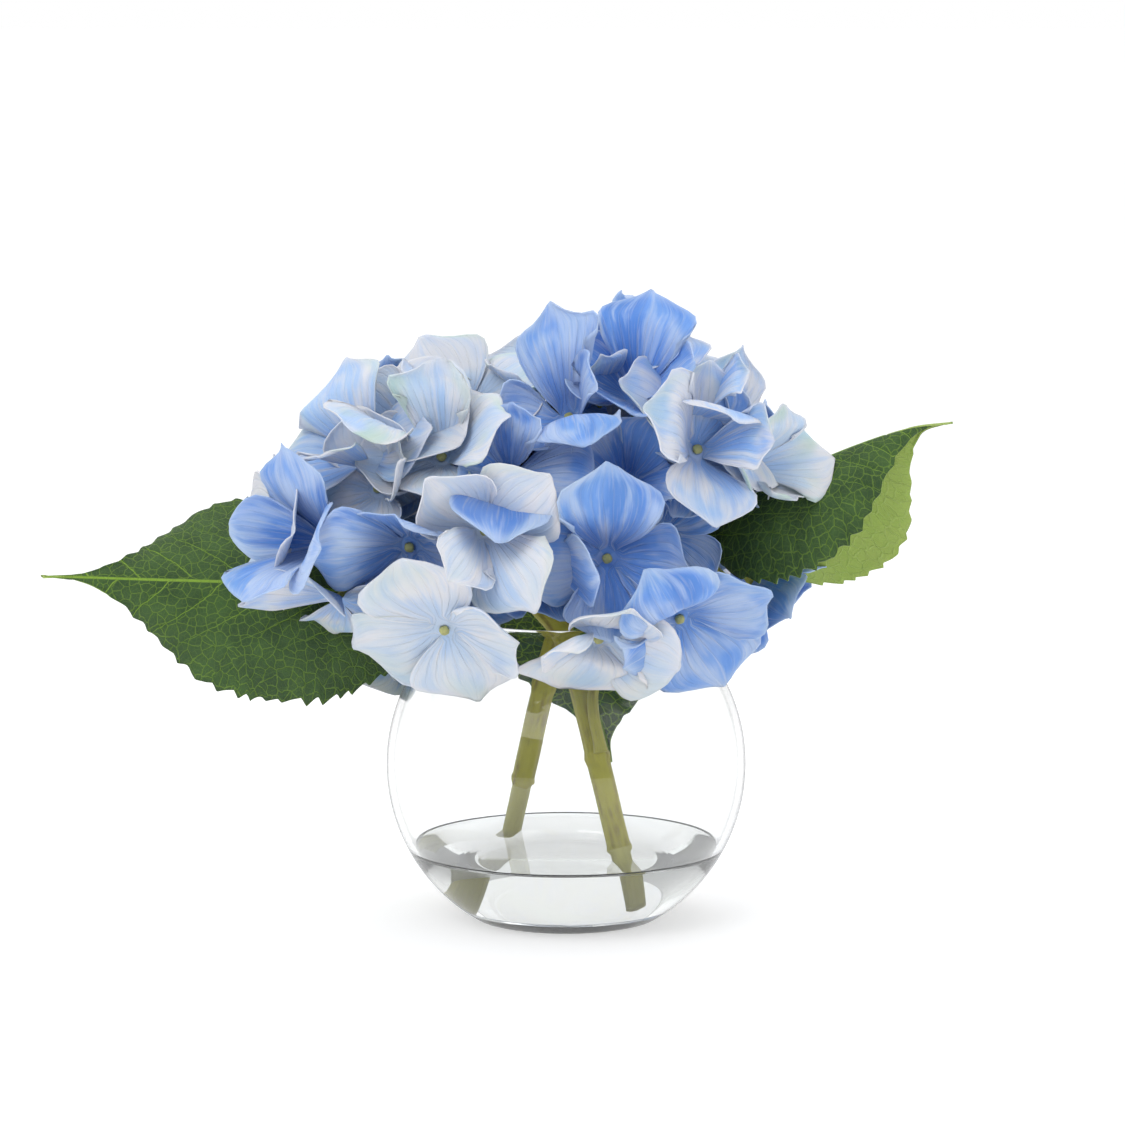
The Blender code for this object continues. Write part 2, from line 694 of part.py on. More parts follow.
def spray(name, head, florets):
    """A head's knob with a branch for each of its florets, moulded as one."""
    work = bmesh.new()
    bmesh.ops.create_icosphere(work, subdivisions=2, radius=KNOB_R)
    vertices = np.array([tuple(v.co) for v in work.verts]) + head
    faces = [tuple(v.index for v in f.verts) for f in work.faces]
    work.free()
    knob = add_object(name, (vertices, faces), "branch")
    own = [f for f in florets if f.head() is head]
    arms = [add_object(f"{name}_arm_{i}", f.branch_mesh(), "branch") for i, f in enumerate(own)]
    combine(knob, arms, "UNION")


def main():
    for obj in list(bpy.data.objects):
        bpy.data.objects.remove(obj)
    bowl = bowl_mesh()
    stems = {"stem_left": stem_mesh(STEM_LEFT, SLEEVE_LEFT_Z, JOINT_LEFT_Z),
             "stem_right": stem_mesh(STEM_RIGHT, SLEEVE_RIGHT_Z, JOINT_RIGHT_Z)}
    blades = {name: leaf.mesh() for name, leaf in LEAVES.items()}
    stalks = {name: stalk_mesh(stalk_points(name)) for name in LEAVES}
    add_object("bowl", bowl, "glass")
    water = add_object("water", water_mesh(), "water")
    pockets = [add_object(f"pocket_{i}", pocket_mesh(path), "water")
               for i, path in enumerate((STEM_LEFT, STEM_RIGHT))]
    combine(water, pockets, "DIFFERENCE")
    for name, mesh in stems.items():
        add_object(name, mesh, "stem")
    for name in LEAVES:
        add_object(f"leaf_{name}", blades[name], "leaf")
        add_object(f"leaf_{name}_stalk", stalks[name], "stem")
    fixed = [bowl, *stems.values(), *blades.values(), *stalks.values()]
    florets = fill_florets(front_florets(), tree_of(fixed))
    lay_petals(florets, fixed)
    spray("spray_left", HEAD_LEFT, florets)
    spray("spray_right", HEAD_RIGHT, florets)
    for i, floret in enumerate(florets):
        add_object(f"floret_{i + 1:02d}", floret.mesh(), floret.slot)


main()
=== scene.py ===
"""The looks of two silk hydrangea heads in a glass bubble bowl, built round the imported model."""

import json
import math

import bpy
import numpy as np
from bpy.props import FloatProperty, FloatVectorProperty, PointerProperty
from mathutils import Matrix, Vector


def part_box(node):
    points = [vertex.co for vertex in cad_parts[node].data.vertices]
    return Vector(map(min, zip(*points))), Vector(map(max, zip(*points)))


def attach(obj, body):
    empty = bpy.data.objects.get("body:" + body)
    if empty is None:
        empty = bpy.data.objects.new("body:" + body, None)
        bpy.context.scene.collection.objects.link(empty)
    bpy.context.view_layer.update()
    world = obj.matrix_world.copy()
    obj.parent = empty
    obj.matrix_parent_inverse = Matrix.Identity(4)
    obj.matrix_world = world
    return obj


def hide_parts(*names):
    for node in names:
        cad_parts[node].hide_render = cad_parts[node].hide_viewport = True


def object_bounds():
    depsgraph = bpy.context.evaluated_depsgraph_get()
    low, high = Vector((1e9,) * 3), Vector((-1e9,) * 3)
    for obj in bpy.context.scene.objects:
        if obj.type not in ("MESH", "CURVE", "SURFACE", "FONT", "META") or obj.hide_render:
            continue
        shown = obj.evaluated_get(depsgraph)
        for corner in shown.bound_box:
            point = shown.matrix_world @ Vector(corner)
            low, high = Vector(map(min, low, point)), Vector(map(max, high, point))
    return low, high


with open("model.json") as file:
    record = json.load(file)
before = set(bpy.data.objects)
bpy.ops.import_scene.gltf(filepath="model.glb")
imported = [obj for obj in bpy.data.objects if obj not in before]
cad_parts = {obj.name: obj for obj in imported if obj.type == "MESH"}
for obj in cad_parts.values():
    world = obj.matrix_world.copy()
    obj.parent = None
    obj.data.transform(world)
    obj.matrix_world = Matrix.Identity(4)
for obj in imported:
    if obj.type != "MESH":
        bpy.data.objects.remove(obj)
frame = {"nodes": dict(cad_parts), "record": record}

CAD_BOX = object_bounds()

bl_info = {
    "name": "Silk hydrangeas in a bubble bowl",
    "version": (1, 0, 0),
    "blender": (4, 5, 0),
    "location": "3D View > Sidebar > Hydrangeas",
    "description": "Builds the looks of silk hydrangeas in a glass bubble bowl",
    "category": "Object",
}

BODY = "root"
SLOTS = {row["node"]: row["material_slot"] for row in frame["record"]["subparts"]}
STEMS = ("stem_left", "stem_right")
FLORETS = sorted(name for name in frame["nodes"] if name.startswith("floret_"))

# Shares of a petal's length at which its rows of points lie, the first on the floret's middle ring
PETAL_ROWS = (0.0, 0.42, 0.78, 1.0)
# Steps across and along a petal, and from the pin's hole to the petals
ACROSS, ALONG, HEART = 18, 16, 3
# Steps along a leaf blade, and across each of its halves
LEAF_STEPS, HALF_STEPS = 220, 18
# Points across a blade on the model
LEAF_COLUMNS = 7
# Distance from tooth to tooth along each blade
LEAF_SPACING = {"leaf_left": 0.0062, "leaf_right": 0.0058, "leaf_bowl": 0.0042}
# How much wider a blade's far half is than the model's
LEAF_SPREAD = {"leaf_left": 0.0, "leaf_right": 0.28, "leaf_bowl": 0.0}
# The way that each blade's upper side faces
LEAF_UP = {"leaf_left": (0.0, -0.9, 0.44), "leaf_right": (-0.39, -0.34, 0.85), "leaf_bowl": (0.1, -0.97, 0.2)}
# What is added to the side veins' count on a blade's underside
UNDERSIDE = 100.0
# Radius of the knob at the middle of a spray
KNOB = 0.0075
# Sides of a stem, a stalk and a branch
STEM_SIDES, STALK_SIDES, BRANCH_SIDES = 40, 20, 12
# A petal that is shorter than this on the model is let out
SHORT_PETAL = 0.014
# The place that the camera and the lights face, beside the bowl's axis and over the floor
VIEW_X, VIEW_HEIGHT = -0.0013, 0.1295
# The inner florets: places tried in each head, distance from its middle, and length of a petal
INNER_SITES, INNER_REACH, INNER_PETAL = 26, 0.037, 0.020
# Radius of an inner floret's solid middle, and the room that one needs round its middle
INNER_HEART, INNER_ROOM = 0.0034, 0.0115
# Angle from the middle of a petal's foot to its corner, an eighth of a turn, and the slots in turn
INNER_CORNER = 0.785
INNER_SLOTS = ("deep_blue", "pale_blue", "deep_blue", "grey_blue", "deep_blue")


# What the frame's meshes say


def merged(name):
    """A CAD node's points without doubles, and its triangles."""
    mesh = frame["nodes"][name].data
    places = np.array([v.co for v in mesh.vertices], float)
    keys = np.round(places * 1e7).astype(np.int64)
    _, first, back = np.unique(keys, axis=0, return_index=True, return_inverse=True)
    back = back.reshape(-1)
    return places[first], np.array([[back[i] for i in face.vertices] for face in mesh.polygons])


def links(count, faces):
    """For each point, the points that it shares an edge with."""
    near = [set() for _ in range(count)]
    for face in faces:
        for a, b in zip(face, np.roll(face, -1)):
            if a != b:
                near[a].add(int(b))
                near[b].add(int(a))
    return near


def outlines(faces):
    """The loops of points along a sheet's open edges."""
    used = {}
    for a, b, c in faces:
        for edge in ((a, b), (b, c), (a, c)):
            used[edge] = used.get(edge, 0) + 1
    open_edges = [edge for edge, times in used.items() if times == 1]
    near = [set() for _ in range(max(max(edge) for edge in open_edges) + 1)]
    for a, b in open_edges:
        near[a].add(b)
        near[b].add(a)
    left, loops = {i for edge in open_edges for i in edge}, []
    while left:
        loops.append(sorted(levels(near, [min(left)])))
        left -= set(loops[-1])
    return loops


def levels(near, start):
    """How many edges each point is away from the starting ones."""
    level = {int(i): 0 for i in start}
    edge = list(level)
    while edge:
        ahead = sorted({n for i in edge for n in near[i]} - set(level))
        level.update({n: level[edge[0]] + 1 for n in ahead})
        edge = ahead
    return level


def unit(vector):
    """The vector, or each vector of an array, at length 1."""
    return vector / np.linalg.norm(vector, axis=-1, keepdims=True)


def sides_of(axis):
    """Two directions across an axis."""
    first = unit(np.cross(axis, (0.31, 0.2, 0.93)))
    return first, np.cross(axis, first)


def centreline(name, step, toward):
    """A tube's middle line and its radius along it, from the end that is nearest to a place, ring by ring."""
    points, faces = merged(name)
    near = links(len(points), faces)
    start = int(np.argmin(np.linalg.norm(points - np.asarray(toward), axis=1)))
    inside = points[[i for i, depth in levels(near, [start]).items() if depth == 4]].mean(axis=0)
    corners = points[[face for face in faces if start in face]]
    normals = unit(np.cross(corners[:, 1] - corners[:, 0], corners[:, 2] - corners[:, 0]))
    cap = normals[np.argmax(normals @ (points[start] - inside))]
    out = points - points[start]
    level = levels(near, np.flatnonzero((abs(out @ cap) < 3e-5) & (np.linalg.norm(out, axis=1) < 0.012)))
    depths = range(max(level.values()) + 1)
    rings = [points[[i for i, at in level.items() if at == depth]] for depth in depths]
    middles = np.array([ring.mean(axis=0) for ring in rings])
    radii = np.array([np.linalg.norm(ring - ring.mean(axis=0), axis=1).mean() for ring in rings])
    way = np.concatenate(([0.0], np.cumsum(np.linalg.norm(np.diff(middles, axis=0), axis=1))))
    at = np.linspace(0, way[-1], max(8, round(way[-1] / step)))
    return spline(way, middles, at), np.interp(at, way, radii)


class CadFloret:
    """A floret's middle, its axis, and the rows of points through the middle of each petal's thickness."""

    def __init__(self, name, heads):
        points, faces = merged(name)
        apart = np.linalg.norm(points[:, None] - points[None], axis=2)
        np.fill_diagonal(apart, 1.0)
        partner = abs(apart - np.median(apart.min(axis=1))).argmin(axis=1)
        pairs = sorted({(min(i, j), max(i, j)) for i, j in enumerate(partner)})
        index = {i: k for k, pair in enumerate(pairs) for i in pair}
        middle = np.array([(points[i] + points[j]) / 2 for i, j in pairs])
        sheet = {tuple(sorted({index[i] for i in face})) for face in faces}
        sheet = [face for face in sorted(sheet) if len(face) == 3]
        near = links(len(middle), sheet)
        hole = min(outlines(sheet), key=len)
        self.hub = middle[hole].mean(axis=0)
        self.head = min(heads, key=lambda h: np.linalg.norm(h - self.hub))
        self.axis = np.linalg.svd(middle[hole] - self.hub)[2][2]
        if np.dot(self.axis, self.hub - self.head) < 0:
            self.axis = -self.axis
        level = levels(near, hole)
        ring = [i for i, depth in level.items() if depth == 1]
        left = {i for i, depth in level.items() if depth > 1}
        self.petals = []
        while left:
            start = min(left)
            group = set(levels([n & left for n in near], [start]))
            left -= group
            touched = [i for i in ring if near[i] & group]
            rows = [self.in_order(middle[touched], middle[touched].mean(axis=0))]
            for depth in (2, 3, 4):
                row = [i for i in group if level[i] == depth]
                rows.append(self.in_order(middle[row], middle[row].mean(axis=0)))
            self.petals.append(np.array(rows))
        self.petals.sort(key=lambda rows: self.angle(rows[0][1]))

    def angle(self, point):
        """The point's turn round the floret's axis."""
        first, second = sides_of(self.axis)
        return math.atan2(np.dot(point - self.hub, second), np.dot(point - self.hub, first))

    def in_order(self, row, centre):
        """A row's points, counter-clockwise as seen from the floret's front."""
        out = centre - self.hub
        way = np.cross(self.axis, out - self.axis * np.dot(out, self.axis))
        return row[np.argsort((row - centre) @ way)]


class InnerFloret:
    """A smaller floret deep in a head: its middle, its axis and its petals' rows, as a CadFloret has them."""

    def __init__(self, head, axis, turn):
        self.head = head
        self.axis = axis
        self.hub = head + axis * INNER_REACH
        first, second = sides_of(axis)
        self.petals = []
        for quarter in range(4):
            angle = turn + quarter * math.pi / 2
            away = first * math.cos(angle) + second * math.sin(angle)
            aside = np.cross(axis, away)
            ring = [self.hub + INNER_HEART * (away * math.cos(a) + aside * math.sin(a))
                    for a in (-INNER_CORNER, 0.0, INNER_CORNER)]
            rows = [ring]
            for share, width in ((0.42, 0.44), (0.78, 0.50), (1.0, 0.30)):
                middle = ring[1] + (away + axis * 0.22) * INNER_PETAL * share
                side = aside * width * INNER_PETAL
                curl = axis * 0.10 * INNER_PETAL * share
                rows.append([middle - side + curl, middle, middle + side + curl])
            self.petals.append(np.array(rows))


def inner_florets(middles, florets):
    """The florets deep in each head, where the outer ones, the leaves, the stems and the bowl leave room."""
    names = (*LEAF_UP, *STEMS, "bowl")
    fixed = np.vstack([*(merged(name)[0] for name in names), [floret.hub for floret in florets]])
    made = []
    for head, other in (middles, middles[::-1]):
        for k in range(INNER_SITES):
            height = 1 - 1.3 * (k + 0.5) / INNER_SITES
            turn = k * math.pi * (3 - math.sqrt(5))
            level = math.sqrt(1 - height**2)
            axis = np.array((level * math.cos(turn), level * math.sin(turn), height))
            floret = InnerFloret(head, axis, 1.7 * turn)
            room = np.linalg.norm(fixed - floret.hub, axis=1).min()
            if room > INNER_ROOM and np.linalg.norm(other - floret.hub) > 4 * KNOB:
                made.append(floret)
    return made


def leaf_rows(name):
    """The rows of points through the middle of a leaf blade's thickness, from its base to its tip."""
    points, faces = merged(name)
    near = links(len(points), faces)
    stalk = merged(name + "_stalk")[0]
    gap = np.linalg.norm(points[:, None] - stalk[None], axis=2).min(axis=1)
    base = np.argsort(np.linalg.norm(points - points[gap.argmin()], axis=1))[:2 * LEAF_COLUMNS]
    level = levels(near, base)
    rows, before = [], None
    for depth in range(1, max(level.values())):
        row = {i for i, at in level.items() if at == depth}
        ring = [min(row)]
        while len(ring) < len(row):
            ring.append(min((near[ring[-1]] & row) - set(ring)))
        tries = []
        for turn in range(2 * LEAF_COLUMNS):
            for order in (ring, ring[::-1]):
                rolled = points[np.roll(order, turn)]
                middle = (rolled[:LEAF_COLUMNS] + rolled[:LEAF_COLUMNS - 1:-1]) / 2
                thick = np.linalg.norm(rolled[:LEAF_COLUMNS] - rolled[:LEAF_COLUMNS - 1:-1], axis=1)
                shape = middle - middle[LEAF_COLUMNS // 2]
                shape /= np.linalg.norm(shape)
                upper = rolled[LEAF_COLUMNS // 2] - middle[LEAF_COLUMNS // 2]
                odd = thick.max() * 1000 if before is None else np.linalg.norm(shape - before[0])
                odd += 0 if before is None else 2.0 * (1 - np.dot(unit(upper), before[1]))
                tries.append((odd, turn, order is ring, middle, shape, unit(upper)))
        best = min(tries, key=lambda t: t[:3])
        before = best[4], best[5]
        rows.append(best[3])
    first = points[base].mean(axis=0)
    last = points[[i for i, at in level.items() if at == max(level.values())]].mean(axis=0)
    return np.array([np.tile(first, (LEAF_COLUMNS, 1)), *rows, np.tile(last, (LEAF_COLUMNS, 1))])


def knob(name):
    """The middle of a spray's knob: its own points lie round it, near the top of the stem that carries it."""
    points = merged(name)[0]
    ends = []
    for stem in STEMS:
        top = merged(stem)[0]
        top = top[np.argsort(-top[:, 2])[:10]].mean(axis=0)
        ends.append((np.linalg.norm(points - top, axis=1).min(), tuple(top)))
    top = np.array(min(ends)[1])
    near = points[np.linalg.norm(points - top, axis=1) < 0.016]
    return (near.min(axis=0) + near.max(axis=0)) / 2


# Curves and sheets


def spline(knots, values, at):
    """A smooth curve through the values at the knots. Past the last knot it goes on straight."""
    knots = np.asarray(knots, float)
    step = np.diff(knots)
    slope = np.diff(values, axis=0) / step.reshape(-1, *[1] * (values.ndim - 1))
    tangents = [slope[0]]
    for i in range(1, len(knots) - 1):
        tangents.append((slope[i - 1] * step[i] + slope[i] * step[i - 1]) / (step[i - 1] + step[i]))
    tangents.append(slope[-1])
    shape = np.broadcast_shapes(at.shape, values.shape[1:-1])
    at = np.broadcast_to(at, shape)
    made = np.zeros((*shape, values.shape[-1]))
    for i, h in enumerate(step):
        inside = at >= knots[i] if i == len(step) - 1 else (at >= knots[i]) & (at < knots[i + 1])
        t = ((at - knots[i]) / h)[..., None]
        over = np.maximum(t - 1, 0)
        t = np.minimum(t, 1)
        piece = ((2 * t**3 - 3 * t**2 + 1) * values[i] + (t**3 - 2 * t**2 + t) * h * tangents[i]
                 + (3 * t**2 - 2 * t**3) * values[i + 1] + (t**3 - t**2) * h * tangents[i + 1])
        piece = piece + over * h * tangents[i + 1]
        made = np.where(inside[..., None], piece, made)
    return made


def sheet_normals(points, quads):
    """Each point's normal on a sheet of quads."""
    a, b, c, d = (points[quads[:, i]] for i in range(4))
    face = np.cross(c - a, d - b)
    normals = np.zeros_like(points)
    for i in range(4):
        np.add.at(normals, quads[:, i], face)
    return unit(normals + 1e-15)


def thickened(points, quads, thickness):
    """A closed solid with the sheet in its middle: the upper side's points come first."""
    count = len(points)
    step = sheet_normals(points, quads) * np.asarray(thickness).reshape(-1, 1) / 2
    edges = {}
    for face in quads.tolist():
        for a, b in zip(face, face[1:] + face[:1]):
            edges[(a, b)] = True
    rim = [(b, a, a + count, b + count) for a, b in edges if (b, a) not in edges]
    faces = [*quads.tolist(), *(quads[:, ::-1] + count).tolist(), *rim]
    return np.vstack((points + step, points - step)), faces


def grid_quads(rows):
    """Faces between neighbouring rows of point numbers."""
    rows = np.asarray(rows)
    return np.stack((rows[:-1, :-1], rows[:-1, 1:], rows[1:, 1:], rows[1:, :-1]), axis=-1).reshape(-1, 4)


def capped(rings, first, last):
    """A closed solid through rings of points, with a point in the middle of each end."""
    points = np.concatenate(rings)
    rows = np.arange(len(points)).reshape(len(rings), -1)
    rows = np.column_stack((rows, rows[:, 0]))
    low, high = len(points), len(points) + 1
    faces = grid_quads(rows).tolist()
    faces += [(low, int(b), int(a)) for a, b in zip(rows[0], rows[0][1:])]
    faces += [(high, int(a), int(b)) for a, b in zip(rows[-1], rows[-1][1:])]
    return np.vstack((points, first, last)), faces


def lathe(profile, sides):
    """A closed solid turned round Z. The profile's ends lie on the axis."""
    turn = 2 * math.pi * np.arange(sides) / sides
    ring = np.stack((np.cos(turn), np.sin(turn)), axis=-1)
    rings = [np.column_stack((ring * r, np.full(sides, z))) for r, z in profile[1:-1]]
    return capped(rings, (0, 0, profile[0][1]), (0, 0, profile[-1][1]))


def tube(path, radii, sides, round_shape=None):
    """A closed tube along a path. round_shape gives a share of the radius for each turn and place."""
    run = unit(np.gradient(path, axis=0))
    side = unit(np.cross(run[0], (0.3, 1.0, 0.2)))
    rings = []
    turn = 2 * math.pi * np.arange(sides) / sides
    for i, (point, way) in enumerate(zip(path, run)):
        side = unit(side - way * np.dot(side, way))
        across = np.cross(way, side)
        shape = np.ones(sides) if round_shape is None else round_shape(turn, i)
        reach = radii[i] * shape[:, None]
        rings.append(point + reach * (np.cos(turn)[:, None] * side + np.sin(turn)[:, None] * across))
    return capped(rings, path[0], path[-1])


def joined(solids):
    """Several (points, faces) as one, kept as separate shells."""
    points, faces = [], []
    for places, polygons in solids:
        start = sum(len(p) for p in points)
        points.append(places)
        faces += [[i + start for i in face] for face in polygons]
    return np.vstack(points), faces


def piece(name, solid, slot, paint, replaced, places=None):
    """A finished object that rides on the body and stands for CAD nodes."""
    points, faces = solid
    mesh = bpy.data.meshes.new(name)
    mesh.from_pydata(points.tolist(), [], faces)
    mesh.update()
    volume = 0.0
    for face in mesh.polygons[:]:
        volume += face.area * face.normal.dot(face.center)
    if volume < 0:
        mesh.flip_normals()
    mesh.shade_smooth()
    mesh.materials.append(paint)
    if places is not None:
        layer = mesh.attributes.new("place", "FLOAT_VECTOR", "POINT")
        layer.data.foreach_set("vector", np.asarray(places, np.float32).reshape(-1))
    obj = bpy.data.objects.new(name, mesh)
    bpy.context.scene.collection.objects.link(obj)
    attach(obj, BODY)
    if replaced:
        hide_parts(*replaced)
    return obj


# Shader maths


class Value:
    """An output socket. Arithmetic on it adds Math nodes."""

    def __init__(self, paint, socket):
        self.paint = paint
        self.socket = socket

    def __getitem__(self, name):
        return Value(self.paint, self.socket.node.outputs[name])

    def math(self, operation, *others):
        return self.paint.node("Math", {"operation": operation}, dict(enumerate((self, *others))))

    def __add__(self, other):
        return self.math("ADD", other)

    def __sub__(self, other):
        return self.math("SUBTRACT", other)

    def __mul__(self, other):
        return self.math("MULTIPLY", other)

    def __rsub__(self, other):
        return self.paint.node("Math", {"operation": "SUBTRACT"}, {0: other, 1: self})

    def __abs__(self):
        return self.math("ABSOLUTE")

    __radd__ = __add__
    __rmul__ = __mul__


class Paint:
    """The node tree of a material, or of a world."""

    def __init__(self, name, world=None):
        self.material = world or bpy.data.materials.new(name)
        self.material.use_nodes = True
        self.tree = self.material.node_tree
        self.tree.nodes.clear()

    def node(self, kind, settings=None, sockets=None, output=0):
        """Adds a node. Its settings, such as a ramp's two stops, are set before its sockets."""
        made = self.tree.nodes.new("ShaderNode" + kind)
        for name, value in (settings or {}).items():
            if name == "stops":
                for element, (at, colour) in zip(made.color_ramp.elements, value):
                    element.position = at
                    element.color = (*colour, 1.0)
            else:
                setattr(made, name, value)
        for name, value in (sockets or {}).items():
            if isinstance(value, Value):
                self.tree.links.new(value.socket, made.inputs[name])
            elif made.inputs[name].type == "RGBA":
                made.inputs[name].default_value = (*value, 1.0)
            else:
                made.inputs[name].default_value = value
        return None if output is None else Value(self, made.outputs[output])

    def mix(self, share, first, second, blend="MIX"):
        """A blend of two colours."""
        settings = {"data_type": "RGBA", "blend_type": blend}
        return self.node("Mix", settings, {0: share, 6: first, 7: second}, output=2)

    def step(self, value, low, high, start=0.0, end=1.0):
        """A smooth step from start, below low, to end, above high."""
        settings = {"interpolation_type": "SMOOTHSTEP"}
        sockets = {"Value": value, "From Min": low, "From Max": high, "To Min": start, "To Max": end}
        return self.node("MapRange", settings, sockets)

    def scaled(self, vector, scale, offset=(0.0, 0.0, 0.0)):
        settings = {"operation": "MULTIPLY_ADD"}
        return self.node("VectorMath", settings, {0: vector, 1: scale, 2: offset})

    def noise(self, vector, scale, detail=3.0, rough=0.5):
        sockets = {"Vector": vector, "Scale": scale, "Detail": detail, "Roughness": rough}
        return self.node("TexNoise", {}, sockets)

    def place(self):
        """The mesh's own place attribute, as a vector."""
        return self.node("Attribute", {"attribute_name": "place"}, output="Vector")

    def bump(self, height, distance, strength=1.0):
        return self.node("Bump", {}, {"Height": height, "Distance": distance, "Strength": strength})

    def finish(self, sockets, share=None, other=None):
        """The Principled shader, which a share of another may be mixed into, and the output."""
        shader = self.node("BsdfPrincipled", {}, sockets)
        if other:
            other = self.node("BsdfPrincipled", {}, other)
            shader = self.node("MixShader", {}, {0: share, 1: shader, 2: other})
        self.node("OutputMaterial", {}, {"Surface": shader}, output=None)
        return self.material


# Properties


def colour(name, description, default):
    return FloatVectorProperty(name=name, description=description, default=default, subtype="COLOR",
                               size=3, min=0.0, max=1.0)


def length(name, description, default):
    return FloatProperty(name=name, description=description, default=default, unit="LENGTH", precision=5)


class HydrangeaPetalProps(bpy.types.PropertyGroup):
    thickness: length("Petal thickness", "Thickness of the petals' fabric", 0.0004)
    ruffle: length("Ruffle", "How far a petal's edge waves to each side", 0.0014)
    overlap: length("Overlap", "How far a petal's one edge rises over its neighbour's", 0.0009)
    short_length: length("Inner petal length", "Length of the inner petals that lean forwards", 0.027)
    spread: FloatProperty(name="Spread", description="Share by which a petal is wider than the model's",
                          default=0.26, min=0.0, max=0.5)
    deep: colour("Deep blue", "Body of the deepest petals", (0.095, 0.25, 0.67))
    sky: colour("Sky blue", "Body of the pale petals, and the blush of the others", (0.27, 0.44, 0.76))
    mist: colour("Mist", "Grey blue of the upper petals", (0.49, 0.59, 0.72))
    cream: colour("Cream", "Warm white", (0.70, 0.69, 0.71))
    green: colour("Green tint", "Tint at some of the petals' edges", (0.42, 0.56, 0.47))


class HydrangeaLeafProps(bpy.types.PropertyGroup):
    thickness: length("Leaf thickness", "Thickness of the leaves' fabric", 0.0006)
    tooth: length("Tooth", "Depth of the teeth along a leaf's edge", 0.0021)
    groove: length("Vein depth", "Depth of the pressed veins", 0.00045)
    upper: colour("Upper side", "Dark green upper side", (0.028, 0.064, 0.018))
    light: colour("Light patches", "Lighter green of the upper side's fields", (0.050, 0.105, 0.026))
    vein: colour("Veins", "Yellow green veins", (0.22, 0.36, 0.04))
    under: colour("Underside", "Pale green underside", (0.29, 0.38, 0.085))


class HydrangeaStemProps(bpy.types.PropertyGroup):
    green: colour("Olive", "Moulded olive green", (0.46, 0.43, 0.045))
    brown: colour("Brown", "Brown strands along the stems", (0.29, 0.23, 0.04))
    pale: colour("Pale core", "Bare lower length of a stem", (0.54, 0.52, 0.17))
    bead: colour("Bead", "Bead in a floret's middle", (0.24, 0.26, 0.13))


class HydrangeaGlassProps(bpy.types.PropertyGroup):
    tint: colour("Glass tint", "Colour of light that has passed the glass", (0.965, 0.975, 0.975))
    # Painted shade: the grey mixed into the glass where it is seen edge on, in place of dark edge reflections
    rim: colour("Glass painted edge shade", "Painted shade where the glass is seen edge on, standing in for dark edge reflections", (0.20, 0.21, 0.22))
    water: colour("Water tint", "Colour of light that has passed the water", (0.99, 0.995, 0.99))
    # Painted shade: the grey mixed into the water where it is seen edge on, in place of dark edge reflections
    water_painted_edge_shade: colour("Water painted edge shade", "Painted shade where the water is seen edge on, standing in for dark edge reflections", (0.50, 0.51, 0.52))


class HydrangeaStageProps(bpy.types.PropertyGroup):
    floor: colour("Floor", "Plain pale floor", (0.62, 0.62, 0.62))
    distance: length("Camera distance", "From the camera to the arrangement", 1.5)
    frame_width: length("View width", "Width that the camera sees at the arrangement", 0.405)
    elevation: FloatProperty(name="Camera elevation", description="Angle that the camera looks down at",
                             default=math.radians(7.6), subtype="ANGLE", unit="ROTATION")


# Bowl and water


class Ball:
    """The bowl's measures, read from the CAD bowl's rings."""

    def __init__(self):
        points = merged("bowl")[0]
        radius = np.hypot(points[:, 0], points[:, 1])
        height = points[:, 2]
        widest = radius.argmax()
        self.base = radius[height < 1e-5].max()
        self.middle = (radius[widest] ** 2 - self.base**2 + height[widest] ** 2) / (2 * height[widest])
        self.outer = math.hypot(self.base, self.middle)
        self.floor = height[(radius < self.base * 1.2) & (height > 1e-5)].min()
        flat = radius[abs(height - self.floor) < 1e-5].max()
        self.inner = math.hypot(flat, self.middle - self.floor)
        self.top = height.max()
        self.lip = radius[height > self.top - 1e-5]
        self.wall = self.outer - self.inner

    def arc(self, radius, low, high, steps):
        """(radius, height) along a circle round the ball's middle, from angle to angle."""
        turns = np.linspace(low, high, steps)
        return [(radius * math.cos(t), self.middle + radius * math.sin(t)) for t in turns]


def bowl_profile(ball):
    """The flat base with an eased edge, the outer wall, a round lip, and the inner wall to a soft floor."""
    ease = 0.0012
    start = ease / ball.outer - math.acos(ball.base / ball.outer)
    mouth = ball.lip.max() + ball.wall * 0.25
    base = ball.base
    profile = [(0, 0.0006), (base * 0.55, 0.0006), (base * 0.80, 0.0002), (base - 2 * ease, 0.0),
               (base - ease * 0.9, 0.00003), (base - ease * 0.2, 0.00025)]
    profile += ball.arc(ball.outer, start, math.acos(mouth / ball.outer), 90)
    edge = (profile[-1][0] - ball.wall / 2, profile[-1][1] - ball.wall * 0.05)
    room = ball.top - edge[1]
    for turn in np.linspace(0.15, math.pi - 0.15, 12):
        profile.append((edge[0] + math.cos(turn) * ball.wall / 2, edge[1] + math.sin(turn) * room))
    low = -math.asin((ball.middle - ball.floor - 0.0005) / ball.inner)
    high = math.acos((mouth - ball.wall) / ball.inner)
    profile += ball.arc(ball.inner, high, low, 90)
    flat = profile[-1][0]
    profile += [(flat * 0.93, ball.floor + 0.0002), (flat * 0.80, ball.floor), (flat * 0.4, ball.floor)]
    return [*profile, (0, ball.floor)]


def water_solid(ball, surface):
    """Water up to its surface, which climbs a little at the wall. It reaches a little way into the glass."""
    reach = ball.inner + 0.00025
    climb = 0.0011
    low = -math.asin((ball.middle - ball.floor) / reach)
    high = -math.asin((ball.middle - surface - climb) / reach)
    profile = [(0, ball.floor - 0.0002), *ball.arc(reach, low, high, 30)]
    rim = profile[-1][0]
    for share in np.linspace(0.01, 1, 40)[:-1]:
        radius = rim * (1 - share)
        profile.append((radius, surface + climb * math.exp(-(rim - radius) / 0.0010)))
    points, faces = lathe([*profile, (0, surface)], 160)
    return points, faces


